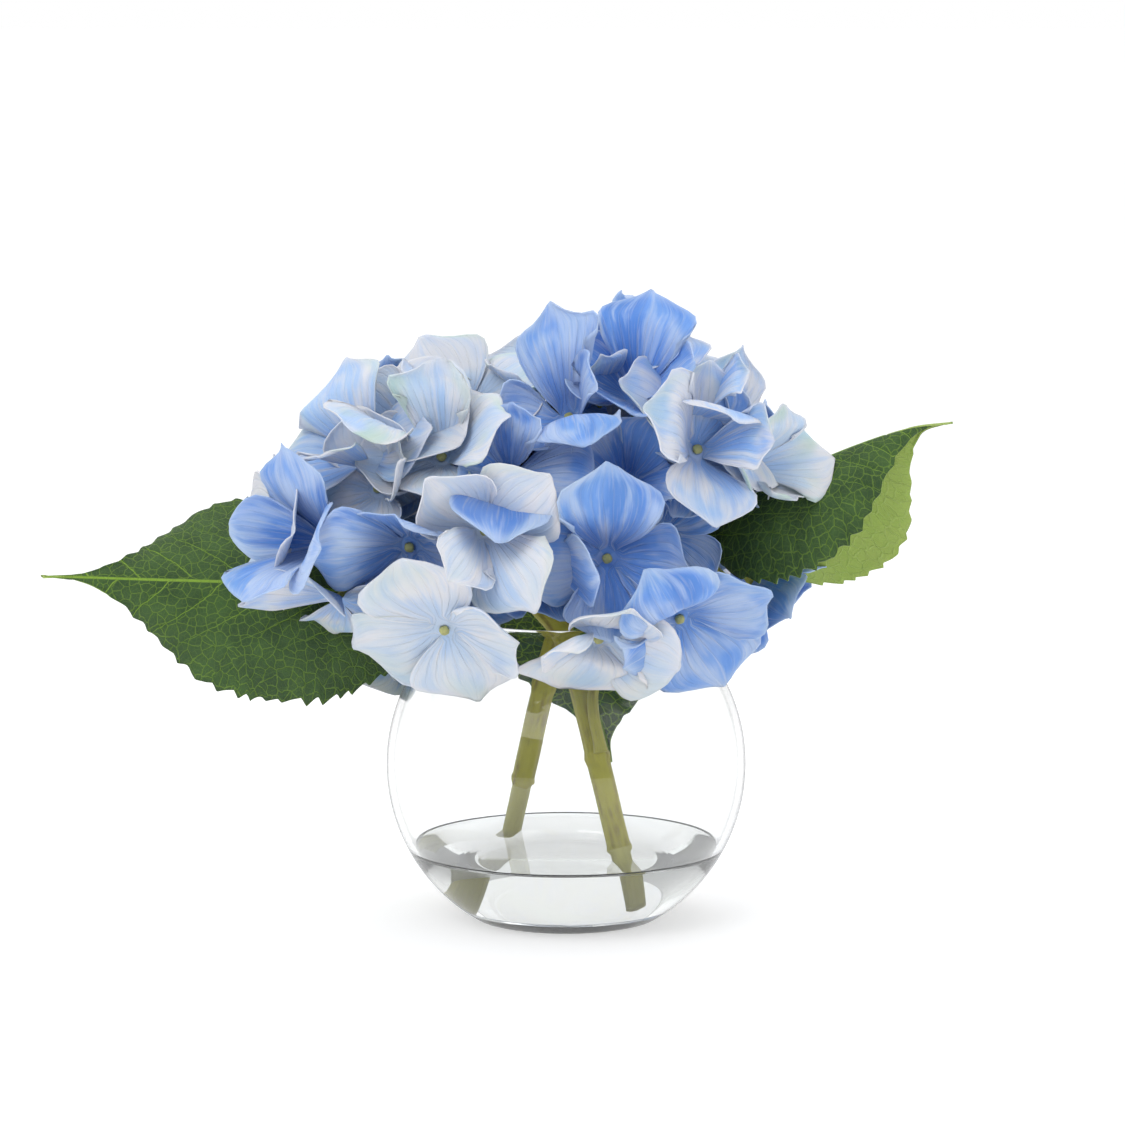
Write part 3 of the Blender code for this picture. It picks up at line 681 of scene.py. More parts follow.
def glass_paint(name, tint, ior, rim):
    """Clear and a little uneven. rim is a painted shade that is mixed in where the surface turns away from
    the eye, standing in for the dark reflections at the glass's edges.
    """
    paint = Paint(name)
    spot = paint.node("TexCoord", output="Object")
    wave = paint.noise(spot, 16.0, 1.0)
    swirl = paint.noise(paint.scaled(spot, (60.0, 60.0, 22.0)), 1.0, 2.0)
    smear = paint.step(swirl, 0.55, 0.75, 0.0, 0.012)
    sockets = {"Base Color": tint, "Roughness": smear, "IOR": ior, "Transmission Weight": 1.0,
               "Normal": paint.bump(wave, 0.0004, 0.35)}
    # Painted shade: a grey, rougher surface is mixed in at grazing angles to draw the dark edges that
    # reflections would give
    away = paint.node("LayerWeight", {}, {"Blend": 0.5}, "Facing")
    grey = {"Base Color": rim, "Roughness": 0.35}
    return paint.finish(sockets, paint.step(away, 0.80, 0.985, 0.0, 0.80), grey)


class HYDRANGEA_OT_bowl(bpy.types.Operator):
    """Builds the blown glass bowl with its round lip and cut base"""

    bl_idname = "hydrangea.bowl"
    bl_label = "Build bowl"

    def execute(self, context):
        props = context.scene.hydrangea_glass
        solid = lathe(bowl_profile(Ball()), 192)
        # The glass's rim colour is painted shade on its edges seen edge on
        paint = glass_paint("clear glass", props.tint, 1.47, props.rim)
        piece("bubble_bowl", solid, SLOTS["bowl"], paint, ["bowl"])
        return {"FINISHED"}


class HYDRANGEA_OT_water(bpy.types.Operator):
    """Builds the set water in the bottom of the bowl"""

    bl_idname = "hydrangea.water"
    bl_label = "Build water"

    def execute(self, context):
        props = context.scene.hydrangea_glass
        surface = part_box("water")[1].z
        # The water's edges get the same painted shade as the glass's, in their own grey
        paint = glass_paint("set water", props.water, 1.36, props.water_painted_edge_shade)
        piece("set_water", water_solid(Ball(), surface), SLOTS["water"], paint, ["water"])
        return {"FINISHED"}


# Stems, stalks and sprays


def stem_paint(name, props, fine):
    """Moulded plastic. place holds the way along in metres, the turn, and the bare core's share.

    The turn goes from 0 to 1 half way round and back, so that it has no seam. fine is the ridges' height.
    """
    paint = Paint(name)
    place = paint.place()
    parts = paint.node("SeparateXYZ", {}, {0: place})
    strands = paint.noise(paint.scaled(place, (55.0, 5.0, 1.0)), 1.0, 4.0)
    blotch = paint.noise(paint.scaled(place, (190.0, 1.3, 1.0)), 1.0, 3.0)
    colour = paint.mix(paint.step(strands, 0.46, 0.66), props.green, props.brown)
    colour = paint.mix(paint.step(blotch, 0.42, 0.70, 0.0, 0.75), colour, props.green)
    colour = paint.mix(parts["Z"] * 0.85, colour, props.pale)
    ridge = paint.noise(paint.scaled(place, (30.0, 11.0, 1.0)), 1.0, 3.0)
    grain = paint.noise(paint.scaled(place, (1500.0, 16.0, 1.0)), 1.0, 2.0)
    normal = paint.bump(ridge + grain * 0.25, fine)
    rough = paint.step(grain, 0.2, 0.8, 0.38, 0.58)
    return paint.finish({"Base Color": colour, "Roughness": rough, "Normal": normal,
                         "Subsurface Weight": 0.12, "Subsurface Radius": (1.0, 0.9, 0.3),
                         "Subsurface Scale": 0.002})


def tube_places(path, sides, core):
    """Way along, turn and bare core share for each point of a tube."""
    way = np.concatenate(([0.0], np.cumsum(np.linalg.norm(np.diff(path, axis=0), axis=1))))
    turn = np.arange(sides) / sides
    turn = np.minimum(turn, 1 - turn) * 2
    grid = np.stack(np.broadcast_arrays(way[:, None], turn[None], core[:, None]), axis=-1).reshape(-1, 3)
    return np.vstack((grid, (way[0], 0, core[0]), (way[-1], 0, core[-1])))


def stem_solid(name, seed):
    """A stem with its sleeve, joint, ribs and the small knocks of a moulding. The sleeve ends raggedly."""
    points = merged(name)[0]
    step = 0.0005
    path, radii = centreline(name, step, points[points[:, 2].argmin()])
    way = np.arange(len(path)) * step
    bare = np.clip((np.median(radii) - 0.0001 - radii) / 0.0003, 0, 1)
    rng = np.random.default_rng(seed)
    wander = np.convolve(rng.normal(size=len(radii) + 40), np.hanning(41) / 6, "valid")
    lip = 0.0004 * np.exp(-((way - way[np.argmax(np.diff(bare < 0.5))]) / 0.0011 - 0.8) ** 2)
    radii = radii * (1 + 0.012 * wander) + lip
    phases = rng.uniform(0, 2 * math.pi, 5)

    def shape(turn, i):
        ragged = 0.0009 * np.sin(2 * turn + phases[4]) + 0.0005 * np.sin(5 * turn + phases[2])
        ribs = 0.028 * np.sin(5 * turn + phases[0] + 0.01 * i)
        ribs += 0.016 * np.sin(9 * turn + phases[1] - 0.02 * i)
        knocks = 0.015 * np.sin(3 * turn + phases[2] + 0.10 * i) * math.sin(0.06 * i + phases[3])
        return np.interp(way[i] + ragged, way, radii) / radii[i] + ribs + knocks

    return tube(path, radii, STEM_SIDES, shape), tube_places(path, STEM_SIDES, bare)


class HYDRANGEA_OT_stems(bpy.types.Operator):
    """Builds the two moulded stems and the three leaf stalks"""

    bl_idname = "hydrangea.stems"
    bl_label = "Build stems"

    def execute(self, context):
        paint = stem_paint("olive stem", context.scene.hydrangea_stem, 0.0005)
        for seed, name in enumerate(STEMS):
            solid, places = stem_solid(name, seed + 3)
            piece(name + "_moulded", solid, SLOTS[name], paint, [name], places)
        for name in LEAF_UP:
            blade = merged(name)[0]
            stalk = merged(name + "_stalk")[0]
            gap = np.linalg.norm(stalk[:, None] - blade[None], axis=2).min(axis=1)
            path, radii = centreline(name + "_stalk", 0.0006, stalk[gap.argmax()])
            swell = np.exp(-np.arange(len(radii)) / 5.0)
            solid = tube(path, radii * (1 + 0.25 * swell), STALK_SIDES,
                         lambda turn, i: 1 + 0.05 * np.sin(3 * turn) + 0.02 * np.sin(7 * turn + 0.3 * i))
            places = tube_places(path, STALK_SIDES, np.full(len(path), 0.35))
            piece(name + "_stalk_moulded", solid, SLOTS[name + "_stalk"], paint, [name + "_stalk"], places)
        return {"FINISHED"}


def heads():
    """The middles of the left and the right head."""
    return [knob("spray_left"), knob("spray_right")]


def branch_solid(floret, seed):
    """A branch that swells into its collar, carries the floret on a pin and ends in a bead."""
    start = floret.head + unit(floret.hub - floret.head) * 0.005
    seat = floret.hub - floret.axis * 0.0008
    bend = seat - floret.axis * 0.012
    rng = np.random.default_rng(seed)
    aside = rng.normal(size=3) * 0.0007
    at = np.linspace(0, 1, 14)[:, None]
    path = (1 - at) ** 2 * start + 2 * at * (1 - at) * (bend + aside) + at**2 * seat
    radii = 0.00085 + 0.0005 * (1 - at[:, 0]) ** 3 + 0.0008 * np.exp(-((1 - at[:, 0]) / 0.06) ** 2)
    tip = [(0.0009, 0.00075), (0.0013, 0.00085), (0.0014, 0.00145), (0.0019, 0.00178), (0.0026, 0.0018),
           (0.0032, 0.00145), (0.0036, 0.0008), (0.0037, 0.0002)]
    path = np.vstack((path, [seat + floret.axis * h for h, _ in tip]))
    radii = np.concatenate((radii, [r for _, r in tip]))

    def shape(turn, i):
        bead = i >= 16
        return 1 + (0.06 * np.sin(4 * turn + seed) if bead else 0.05 * np.sin(3 * turn + 0.4 * i))

    bead = np.array([0.0] * 15 + [1.0] * 7)
    return tube(path, radii, BRANCH_SIDES, shape), tube_places(path, BRANCH_SIDES, bead)


def knob_solid(centre):
    """The knob at the middle of a head, a little fluted."""
    rows = []
    for lift in np.linspace(-math.pi / 2 + 0.12, math.pi / 2 - 0.12, 14):
        rows.append((KNOB * math.cos(lift), KNOB * math.sin(lift)))
    profile = [(0, -KNOB), *rows, (0, KNOB)]
    points, faces = lathe(profile, 28)
    turn = np.arctan2(points[:, 1], points[:, 0])
    return points * (1 + 0.03 * np.sin(7 * turn))[:, None] + centre, faces


class HYDRANGEA_OT_sprays(bpy.types.Operator):
    """Builds the moulded sprays that hold the florets, with their beads"""

    bl_idname = "hydrangea.sprays"
    bl_label = "Build sprays"

    def execute(self, context):
        props = context.scene.hydrangea_stem
        paint = Paint("spray plastic")
        place = paint.place()
        parts = paint.node("SeparateXYZ", {}, {0: place})
        fleck = paint.noise(paint.scaled(place, (900.0, 9.0, 1.0)), 1.0, 3.0)
        body = paint.mix(paint.step(fleck, 0.35, 0.7), props.green, props.pale)
        body = paint.mix(parts["Z"], body, paint.mix(fleck, props.bead, props.pale))
        rough = paint.step(fleck, 0.3, 0.7, 0.42, 0.6)
        normal = paint.bump(fleck, 0.0003)
        material = paint.finish({"Base Color": body, "Roughness": rough, "Normal": normal})
        middles = heads()
        florets = [CadFloret(name, middles) for name in FLORETS]
        florets += inner_florets(middles, florets)
        for side, middle in zip(("left", "right"), middles):
            solids, places = [knob_solid(middle)], []
            places.append(np.zeros((len(solids[0][0]), 3)))
            for seed, floret in enumerate(florets):
                if floret.head is middle:
                    solid, place = branch_solid(floret, seed)
                    solids.append(solid)
                    places.append(place)
            piece("spray_" + side + "_moulded", joined(solids), SLOTS["spray_" + side], material,
                  ["spray_" + side], np.vstack(places))
        return {"FINISHED"}


# Leaves


def leaf_paint(name, props, net_share, painted_light_share):
    """place holds the way along the blade, the way across it, both in metres, and the side veins' count.

    The count is a whole number on each side vein. It is lifted by UNDERSIDE on the underside.
    net_share is how strongly the fine net shows. The last argument is the least share of the lighter green:
    painted light that lifts a leaf which sits in shade.
    """
    paint = Paint(name)
    place = paint.place()
    parts = paint.node("SeparateXYZ", {}, {0: place})
    under = parts["Z"].math("GREATER_THAN", UNDERSIDE / 2)
    count = parts["Z"] - under * UNDERSIDE
    wobble = paint.noise(paint.scaled(place, (260.0, 260.0, 0.0)), 1.0, 2.0)
    off = abs((count + wobble * 0.12).math("FRACT") - 0.5)
    across = abs(parts["Y"])
    side_vein = paint.step(off, 0.476, 0.496) * paint.step(across, 0.012, 0.028, 1.0, 0.15)
    halo = paint.step(off, 0.40, 0.5)
    midrib = paint.step(across, 0.0003, 0.0008, 1.0, 0.0)
    flat = paint.scaled(place, (1.0, 1.0, 0.0))
    warp = paint.node("VectorMath", {"operation": "ADD"}, {
        0: flat, 1: paint.scaled(paint.node("TexNoise", {}, {"Vector": flat, "Scale": 350.0}, "Color"),
                                 (0.0016, 0.0016, 0.0))})
    cell = {"feature": "DISTANCE_TO_EDGE", "voronoi_dimensions": "2D"}
    net = paint.node("TexVoronoi", cell, {"Vector": warp, "Scale": 290.0}, "Distance")
    fine = paint.node("TexVoronoi", cell, {"Vector": warp, "Scale": 620.0}, "Distance")
    net_line = paint.step(net, 0.02, 0.09, 1.0, 0.0)
    fine_line = paint.step(fine, 0.02, 0.12, 1.0, 0.0)
    patch = paint.noise(flat, 70.0, 4.0)
    top = paint.mix(paint.step(patch, 0.35, 0.7), props.upper, props.light)
    # The lighter green round the side veins, and at least the given share of it everywhere: above nought this
    # is painted light on a leaf in shade
    top = paint.mix((halo * 0.35).math("MAXIMUM", painted_light_share), top, props.light)
    low = paint.mix(paint.step(patch, 0.3, 0.7, 0.0, 0.35), props.under, props.vein)
    body = paint.mix(under, top, low)
    lines = (side_vein * 0.85).math("MAXIMUM", midrib * 0.95).math("MAXIMUM", net_line * net_share)
    lines = lines.math("MAXIMUM", fine_line * 0.10) * (1 - under * 0.6)
    light_vein = paint.mix(under, props.vein, (0.42, 0.55, 0.20))
    body = paint.mix(lines, body, light_vein)
    weave = paint.noise(flat, 2600.0, 2.0)
    height = net_line * -0.55 + fine_line * -0.25 + side_vein * -0.6 + weave * 0.35
    flip = 1 - under * 2
    rough = paint.step(weave + patch * 0.4, 0.4, 1.0, 0.42, 0.62)
    return paint.finish({"Base Color": body, "Roughness": rough, "Specular IOR Level": 0.35,
                         "Normal": paint.bump(height * flip, 0.0005, 0.7),
                         "Subsurface Weight": 0.10, "Subsurface Radius": (0.6, 1.0, 0.2),
                         "Subsurface Scale": 0.0015})


def teeth(way, blade_length, tooth, spacing):
    """How far the edge stands out: slow rises that drop off toward the tip's side."""
    drift = 0.22 * np.sin(way * 190) + 0.10 * np.sin(way * 533 + 1.1)
    phase = (way / spacing + drift) % 1.0
    saw = np.where(phase < 0.78, (phase / 0.78) ** 1.35, (1 - phase) / 0.22)
    share = way / blade_length
    ends = np.clip((share - 0.06) / 0.10, 0, 1) * np.clip((0.86 - share) / 0.10, 0, 1)
    return tooth * (saw - 0.35) * ends


def between_columns(columns, t):
    """Points on the smooth curves that cross the columns. t counts columns, and may run past the last."""
    last = len(columns) - 1
    low = np.clip(np.floor(t), 0, last - 1).astype(int)
    part = (t - low)[..., None]
    step = np.arange(columns.shape[1])[None]
    a, b = columns[low, step], columns[low + 1, step]
    before = np.where((low > 0)[..., None], columns[np.maximum(low - 1, 0), step], 2 * a - b)
    after = np.where((low < last - 1)[..., None], columns[np.minimum(low + 2, last), step], 2 * b - a)
    return 0.5 * (2 * a + (b - before) * part + (2 * before - 5 * a + 4 * b - after) * part**2
                  + (3 * a - before - 3 * b + after) * part**3)


def leaf_sheet(name, props, spacing, spread, seed):
    """A blade's points, quads, normals, places and how far each point moves along its normal."""
    rows = leaf_rows(name)
    middle = LEAF_COLUMNS // 2
    way = np.concatenate(([0], np.cumsum(np.linalg.norm(np.diff(rows[:, middle], axis=0), axis=1))))
    knots = way / way[-1]
    at = np.linspace(0, 1, LEAF_STEPS + 1)
    columns = np.moveaxis(spline(knots, rows, at[:, None] * np.ones(LEAF_COLUMNS)), 1, 0)
    columns[1:, middle] = 0.5 * (columns[1:, middle] + columns[:-1, middle])
    rng = np.random.default_rng(seed)
    halves, marks = [], []
    for side in (-1, 1):
        picks = columns[[middle + side * i for i in range(middle + 1)]]
        width = np.linalg.norm(picks[-1] - picks[0], axis=1)
        grow = teeth(at * way[-1] + (0.003 if side > 0 else 0.0), way[-1], props.tooth, spacing)
        uneven = np.interp(at * way[-1] / spacing, np.arange(60), rng.normal(size=60))
        grow *= 1 + 0.35 * uneven.clip(-1.5, 1.5)
        outs = np.linspace(0, 1, HALF_STEPS + 1)
        wider = spread * (picks[-1, :, 1].mean() > columns[middle - side * middle, :, 1].mean())
        reach = outs[:, None] * (1 + wider + (grow / np.maximum(width, 0.002))[None] * outs[:, None] ** 2)
        halves.append(between_columns(picks, reach * middle))
        across = side * outs[:, None] * width[None]
        ahead = np.abs(across) * 0.7 + 34.0 * across**2
        count = (at[None] * way[-1] - ahead) / (way[-1] * 0.135) + (0.0 if side > 0 else 0.45)
        marks.append(np.stack(np.broadcast_arrays(at[None] * way[-1], across, count), axis=-1))
    sheet = np.concatenate((halves[0][:0:-1], halves[1]))
    marks = np.concatenate((marks[0][:0:-1], marks[1]))
    sheet = np.moveaxis(sheet, 0, 1)
    marks = np.moveaxis(marks, 0, 1)
    points = sheet.reshape(-1, 3)
    quads = grid_quads(np.arange(len(points)).reshape(sheet.shape[:2]))
    normals = sheet_normals(points, quads)
    flat = marks.reshape(-1, 3)
    off = np.abs((flat[:, 2] % 1.0) - 0.5)
    inside = np.clip(np.abs(flat[:, 1]) / 0.004, 0, 1)
    edge = np.clip(np.tile(1 - np.abs(np.linspace(-1, 1, 2 * HALF_STEPS + 1)), LEAF_STEPS + 1) / 0.15, 0, 1)
    pressed = np.exp(-((off - 0.5) / 0.05) ** 2) * inside * edge + 0.9 * np.exp(-(flat[:, 1] / 0.0012) ** 2)
    wave = 0.0007 * np.sin(flat[:, 0] * 150 + 3 * np.sign(flat[:, 1]) + seed) * (1 - edge)
    move = wave - props.groove * pressed
    return points, quads, normals, flat, move


class HYDRANGEA_OT_leaves(bpy.types.Operator):
    """Builds the three serrated leaves with their pressed veins"""

    bl_idname = "hydrangea.leaves"
    bl_label = "Build leaves"

    def execute(self, context):
        props = context.scene.hydrangea_leaf
        outer = leaf_paint("embossed leaf", props, 0.36, 0.0)
        # The bowl's leaf gets a lighter copy of the paint, with a stronger net of light veins: painted light
        # against the shade that it sits in inside the bowl
        inner = leaf_paint("bowl leaf lightened as painted light", props, 0.95, 0.9)
        for seed, (name, spacing) in enumerate(LEAF_SPACING.items()):
            points, quads, normals, marks, move = leaf_sheet(name, props, spacing, LEAF_SPREAD[name], seed)
            if np.dot(normals.mean(axis=0), LEAF_UP[name]) < 0:
                quads = quads[:, ::-1]
                normals = -normals
            points = points + normals * move[:, None]
            solid = thickened(points, quads, props.thickness)
            under = marks + (0.0, 0.0, UNDERSIDE)
            paint = inner if name == "leaf_bowl" else outer
            piece(name + "_blade", solid, SLOTS[name], paint, [name], np.vstack((marks, under)))
        return {"FINISHED"}


# Florets


def petal_paint(name, props, body, light, dark, patches, greens):
    """place holds the way out to the petal's edge from 0 to 1, the way across from -1 to 1, and a number.

    The number is four times the floret's plus the petal's. Lines that keep their way across fan out
    like veins.
    """
    paint = Paint(name)
    place = paint.place()
    parts = paint.node("SeparateXYZ", {}, {0: place})
    out, across, number = parts["X"], parts["Y"], parts["Z"]
    which = ((number + 0.5) * 0.25).math("FLOOR")
    tone = paint.node("TexWhiteNoise", {"noise_dimensions": "1D"}, {"W": which})

    def field(along, over, shift, detail):
        return paint.noise(paint.scaled(place, (along, over, 7.31), (0.0, 0.0, shift)), 1.0, detail, 0.55)

    cloud, blotch = field(1.2, 1.0, 0.0, 2.0), field(1.0, 0.9, 31.7, 1.5)
    strokes, threads = field(1.3, 4.2, 5.1, 3.0), field(2.2, 17.0, 11.9, 2.0)
    colour = paint.mix(paint.step(cloud + tone * 0.14, 0.50, 0.66) * patches, body, light)
    colour = paint.mix(paint.step(blotch, 0.50, 0.64, 0.0, 0.80), colour, dark)
    base = paint.step(out + strokes * 0.3, 0.12, 0.66, 1.0, 0.0)
    colour = paint.mix(base * 0.60, colour, dark)
    colour = paint.mix(paint.step(strokes, 0.52, 0.68, 0.0, 0.50), colour, light)
    colour = paint.mix(paint.step(strokes, 0.33, 0.47, 0.34, 0.0), colour, dark)
    colour = paint.mix(paint.step(threads, 0.52, 0.72, 0.0, 0.22), colour, props.cream)
    colour = paint.mix(paint.step(threads, 0.32, 0.46, 0.20, 0.0), colour, dark)
    edge = paint.step(out, 0.80, 1.0).math("MAXIMUM", paint.step(abs(across), 0.93, 1.0))
    colour = paint.mix(edge * 0.55, colour, light)
    tinge = paint.step(field(0.9, 0.8, 57.3, 1.0), 0.50, 0.64) * paint.step(out, 0.35, 0.9)
    colour = paint.mix(tinge * greens, colour, props.green)
    veins = abs((across * 5.0 + cloud * 0.9).math("FRACT") - 0.5)
    vein = paint.step(veins, 0.38, 0.49) * paint.step(out, 0.05, 0.95, 1.0, 0.3)
    colour = paint.mix(vein * 0.16, colour, props.cream)
    weave = paint.noise(paint.node("TexCoord", output="Object"), 2300.0, 2.0)
    height = weave * 0.35 + vein * -0.9 + threads * 0.7
    rough = paint.step(weave, 0.2, 0.8, 0.60, 0.80)
    return paint.finish({"Base Color": colour, "Roughness": rough, "Specular IOR Level": 0.25,
                         "Normal": paint.bump(height, 0.00045, 0.7), "Sheen Weight": 0.12,
                         "Subsurface Weight": 0.30, "Subsurface Radius": (0.7, 0.8, 1.0),
                         "Subsurface Scale": 0.0016})


def let_out(rows, floret, size):
    """A petal that the model holds short and upright, let out to a leaning one of full size."""
    foot = rows[0, 1]
    out = unit(foot - floret.hub)
    up = unit(rows[2, 1] - foot)
    across = unit(rows[0, 2] - rows[0, 0])
    made = [rows[0]]
    for share, width in ((0.42, 0.48), (0.78, 0.52), (1.0, 0.32)):
        middle = foot + unit(up + out * (0.9 + 0.9 * share)) * size * share
        inward = (up - out) * 0.10 * size * share
        aside = across * width * size
        made.append([middle - aside + inward, middle, middle + aside + inward])
    return np.array(made)


def petal_sheet(floret, rows, rng, props):
    """A petal's points, row by row out from its base, and their places."""
    if np.linalg.norm(rows[3, 1] - rows[0, 1]) < SHORT_PETAL:
        rows = let_out(rows, floret, props.short_length)
    side = np.linspace(-math.pi / 2, math.pi / 2, ACROSS + 1)
    t = np.sin(side)[None]
    s = (np.linspace(0, 1, ALONG + 1) ** 0.85)[1:, None]
    shoulder = rng.uniform(0.30, 0.42)
    cap = shoulder + (1 - shoulder) * np.maximum(np.cos(side), 0) ** rng.uniform(0.95, 1.25)
    notch = 0.03 * np.sin(3.0 * t + rng.uniform(0, 6.28))
    cap = cap * (1 + notch + 0.012 * np.sin(11 * t + rng.uniform(0, 6.28)))
    u = s * cap * rng.uniform(1.0, 1.08)
    near = np.clip(u / 0.2, 0, 1)
    far = np.clip((u - 0.5) / 0.5, 0, 1)
    v = t * (1 + props.spread * near * near * (3 - 2 * near) - 0.10 * far)
    across = np.stack((v * (v - 1) / 2, 1 - v**2, v * (v + 1) / 2), axis=-1)
    ribs = np.einsum("stc,rcx->rstx", across, rows)
    points = spline(PETAL_ROWS, ribs, u)
    normal = unit(np.cross(np.gradient(points, axis=1), np.gradient(points, axis=0)) + 1e-12)
    edge = np.maximum(s**3, np.abs(t) ** 3 * np.clip(u / 0.4, 0, 1))
    phase = rng.uniform(0, 6.28, 4)
    wave = np.sin(3.2 * t + 2.4 * u + phase[0]) + 0.6 * np.sin(7.0 * t - 3.0 * u + phase[1])
    wave = wave + 0.5 * np.sin(9.0 * u * np.sign(t) + phase[2]) * np.abs(t)
    move = props.ruffle * 0.6 * edge * wave
    move = move + props.overlap * t * np.clip(u / 0.3, 0, 1)
    move = move - 0.0004 * np.exp(-((t / 0.12) ** 2)) * np.clip(1.2 - u, 0, 1)
    move = move + rng.uniform(-0.0042, 0.0022) * s**3 + rng.uniform(-0.0012, 0.0020) * t**2 * s
    move = move + 0.0016 * t * np.sin(phase[3]) * s**2
    points = points + normal * move[..., None]
    return points, np.stack(np.broadcast_arrays(s, t), axis=-1)


def floret_solid(floret, seed, props):
    """A four-petalled cut-out with a hole for its pin, as one closed thin solid."""
    rng = np.random.default_rng(seed)
    points, places, quads = [], [], []
    turn = np.sin(np.linspace(-1, 1, ACROSS + 1) * math.pi / 2)[:-1]
    base = []
    for rows in floret.petals:
        weights = np.stack((turn * (turn - 1) / 2, 1 - turn**2, turn * (turn + 1) / 2), axis=-1)
        base.append(weights @ rows[0])
    ring = np.concatenate(base)
    count = len(ring)
    tones = np.repeat(seed * 4.0 + np.arange(4), ACROSS)
    for share in np.linspace(0.40, 1.0, HEART + 1):
        dish = floret.axis * 0.0003 * (1 - share)
        points.append(floret.hub + (ring - floret.hub) * share + dish)
        places.append(np.column_stack((np.full(count, -0.08 * (1 - share)), np.zeros(count), tones)))
    rows = np.arange((HEART + 1) * count).reshape(-1, count)
    quads.append(grid_quads(np.column_stack((rows, rows[:, 0]))))
    total = (HEART + 1) * count
    for k, control in enumerate(floret.petals):
        sheet, marks = petal_sheet(floret, control, rng, props)
        number = np.arange(sheet[..., 0].size).reshape(sheet.shape[:2]) + total
        first = (np.arange(ACROSS + 1) + k * ACROSS) % count + HEART * count
        quads.append(grid_quads(np.vstack((first, number))))
        points.append(sheet.reshape(-1, 3))
        tone = np.full((number.size, 1), seed * 4.0 + k)
        places.append(np.hstack((marks.reshape(-1, 2), tone)))
        total += number.size
    points, quads, places = np.vstack(points), np.vstack(quads), np.vstack(places)
    return thickened(points, quads, props.thickness), np.vstack((places, places))


class HYDRANGEA_OT_florets(bpy.types.Operator):
    """Builds each floret with its four ruffled petals, and the petals' paints"""

    bl_idname = "hydrangea.florets"
    bl_label = "Build florets"

    def execute(self, context):
        props = context.scene.hydrangea_petal
        deep, sky, mist, cream = (np.array(c) for c in (props.deep, props.sky, props.mist, props.cream))

        def between(share, first, second):
            return first * (1 - share) + second * share

        paints = {
            "deep_blue": petal_paint("deep blue petal", props, between(0.30, deep, sky),
                                     between(0.40, sky, cream), deep * 0.85, 0.75, 0.10),
            "pale_blue": petal_paint("pale blue petal", props, between(0.40, sky, mist),
                                     cream * 0.95, between(0.55, deep, sky), 0.80, 0.30),
            "grey_blue": petal_paint("grey blue petal", props, mist, cream * 0.93, between(0.35, sky, mist),
                                     0.75, 0.75),
            "white": petal_paint("white petal", props, between(0.40, mist, cream), cream,
                                 between(0.45, sky, mist), 0.85, 0.25),
        }
        middles = heads()
        florets = [CadFloret(name, middles) for name in FLORETS]
        for seed, (name, floret) in enumerate(zip(FLORETS, florets)):
            solid, places = floret_solid(floret, seed, props)
            slot = SLOTS[name]
            piece(name + "_silk", solid, slot, paints[slot], [name], places)
        groups = {}
        for seed, floret in enumerate(inner_florets(middles, florets)):
            side = "left" if floret.head is middles[0] else "right"
            group = groups.setdefault((side, INNER_SLOTS[seed % len(INNER_SLOTS)]), [])
            group.append(floret_solid(floret, seed + len(FLORETS), props))
        for (side, slot), made in groups.items():
            solid = joined([solid for solid, _ in made])
            places = np.vstack([places for _, places in made])
            piece(f"inner_florets_{side}_{slot}_silk", solid, slot, paints[slot], [], places)
        return {"FINISHED"}


# Stage


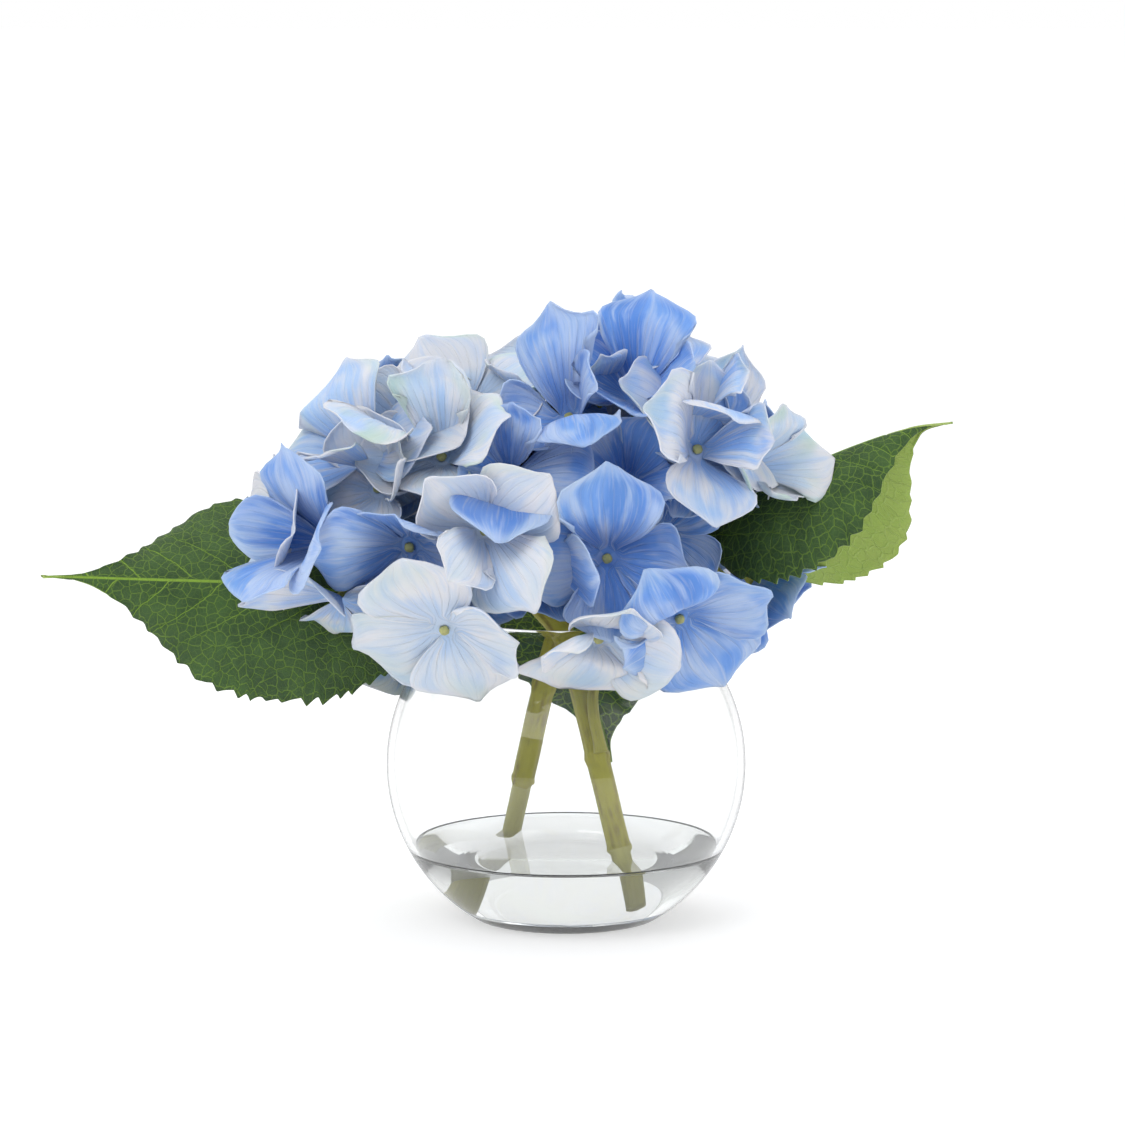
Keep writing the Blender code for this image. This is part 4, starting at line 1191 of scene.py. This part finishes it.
class HYDRANGEA_OT_stage(bpy.types.Operator):
    """Sets the floor, the soft studio light and the camera"""

    bl_idname = "hydrangea.stage"
    bl_label = "Build stage"

    def execute(self, context):
        props = context.scene.hydrangea_stage
        scene = context.scene
        ground = CAD_BOX[0][2]
        self.floor(props, ground)
        self.world(scene)
        middle = Vector((VIEW_X, 0.0, ground + VIEW_HEIGHT))
        self.light("key", middle, (-0.75, -1.15, 1.15), 1.1, 13.0)
        self.light("fill", middle, (1.2, -0.9, 0.5), 1.3, 5.0)
        self.light("top", middle, (0.1, 0.35, 1.4), 1.2, 6.0)
        data = bpy.data.cameras.new("studio camera")
        data.lens = data.sensor_width * props.distance / props.frame_width
        camera = bpy.data.objects.new("studio_camera", data)
        scene.collection.objects.link(camera)
        away = Vector((0.0, -math.cos(props.elevation), math.sin(props.elevation)))
        camera.location = middle + away * props.distance
        camera.rotation_euler = (-away).to_track_quat("-Z", "Y").to_euler()
        scene.camera = camera
        scene.view_settings.view_transform = "Standard"
        scene.view_settings.look = "None"
        return {"FINISHED"}

    def floor(self, props, height):
        mesh = bpy.data.meshes.new("floor")
        corners = [(60.0 * x, 60.0 * y, height) for x, y in ((-1, -1), (1, -1), (1, 1), (-1, 1))]
        mesh.from_pydata(corners, [], [(0, 1, 2, 3)])
        paint = Paint("pale floor")
        grain = paint.noise(paint.node("TexCoord", output="Object"), 40.0, 2.0)
        tone = paint.mix(grain, props.floor, [c * 1.01 for c in props.floor])
        mesh.materials.append(paint.finish({"Base Color": tone, "Roughness": 0.9, "Specular IOR Level": 0.1,
                                            "Emission Color": (1.0, 1.0, 1.0), "Emission Strength": 0.50}))
        obj = bpy.data.objects.new("studio_floor", mesh)
        bpy.context.scene.collection.objects.link(obj)

    def world(self, scene):
        """Bright behind and above the arrangement, darker on the near side, which draws the glass's edges."""
        scene.world = bpy.data.worlds.new("soft studio")
        sky = Paint("soft studio", scene.world)
        parts = sky.node("SeparateXYZ", {}, {0: sky.node("TexCoord", output="Generated")})
        span = sky.node("MapRange", {}, {"Value": parts["Y"], "From Min": -1.0})
        stops = ((0.0, (0.34, 0.36, 0.40)), (0.62, (1.0, 1.0, 1.0)))
        light = sky.node("Background", {}, {"Color": sky.node("ValToRGB", {"stops": stops}, {0: span})})
        sky.node("OutputWorld", {}, {"Surface": light}, output=None)

    def light(self, name, target, offset, size, power):
        data = bpy.data.lights.new(name + " light", "AREA")
        data.size = size
        data.energy = power
        obj = bpy.data.objects.new(name + "_light", data)
        obj.visible_glossy = False
        obj.location = target + Vector(offset)
        obj.rotation_euler = (-Vector(offset)).to_track_quat("-Z", "Y").to_euler()
        bpy.context.scene.collection.objects.link(obj)


# Panel and registration

STEPS = ("stage", "bowl", "water", "stems", "leaves", "sprays", "florets")


class HYDRANGEA_PT_panel(bpy.types.Panel):
    """Lists the arrangement's pieces and their measures"""

    bl_label = "Hydrangeas"
    bl_idname = "HYDRANGEA_PT_panel"
    bl_space_type = "VIEW_3D"
    bl_region_type = "UI"
    bl_category = "Hydrangeas"

    def draw(self, context):
        for step in STEPS:
            self.layout.operator("hydrangea." + step)
        for group in PROPS:
            box = self.layout.box()
            props = getattr(context.scene, group)
            for name in props.__annotations__:
                box.prop(props, name)


PROPS = {
    "hydrangea_petal": HydrangeaPetalProps,
    "hydrangea_leaf": HydrangeaLeafProps,
    "hydrangea_stem": HydrangeaStemProps,
    "hydrangea_glass": HydrangeaGlassProps,
    "hydrangea_stage": HydrangeaStageProps,
}

CLASSES = (
    *PROPS.values(), HYDRANGEA_OT_stage, HYDRANGEA_OT_bowl, HYDRANGEA_OT_water, HYDRANGEA_OT_stems,
    HYDRANGEA_OT_leaves, HYDRANGEA_OT_sprays, HYDRANGEA_OT_florets, HYDRANGEA_PT_panel,
)


def register():
    for made in CLASSES:
        bpy.utils.register_class(made)
    for name, made in PROPS.items():
        setattr(bpy.types.Scene, name, PointerProperty(type=made))


def unregister():
    for name in PROPS:
        delattr(bpy.types.Scene, name)
    for made in reversed(CLASSES):
        bpy.utils.unregister_class(made)


def main():
    register()
    for step in STEPS:
        getattr(bpy.ops.hydrangea, step)()


if __name__ == "__main__":
    main()
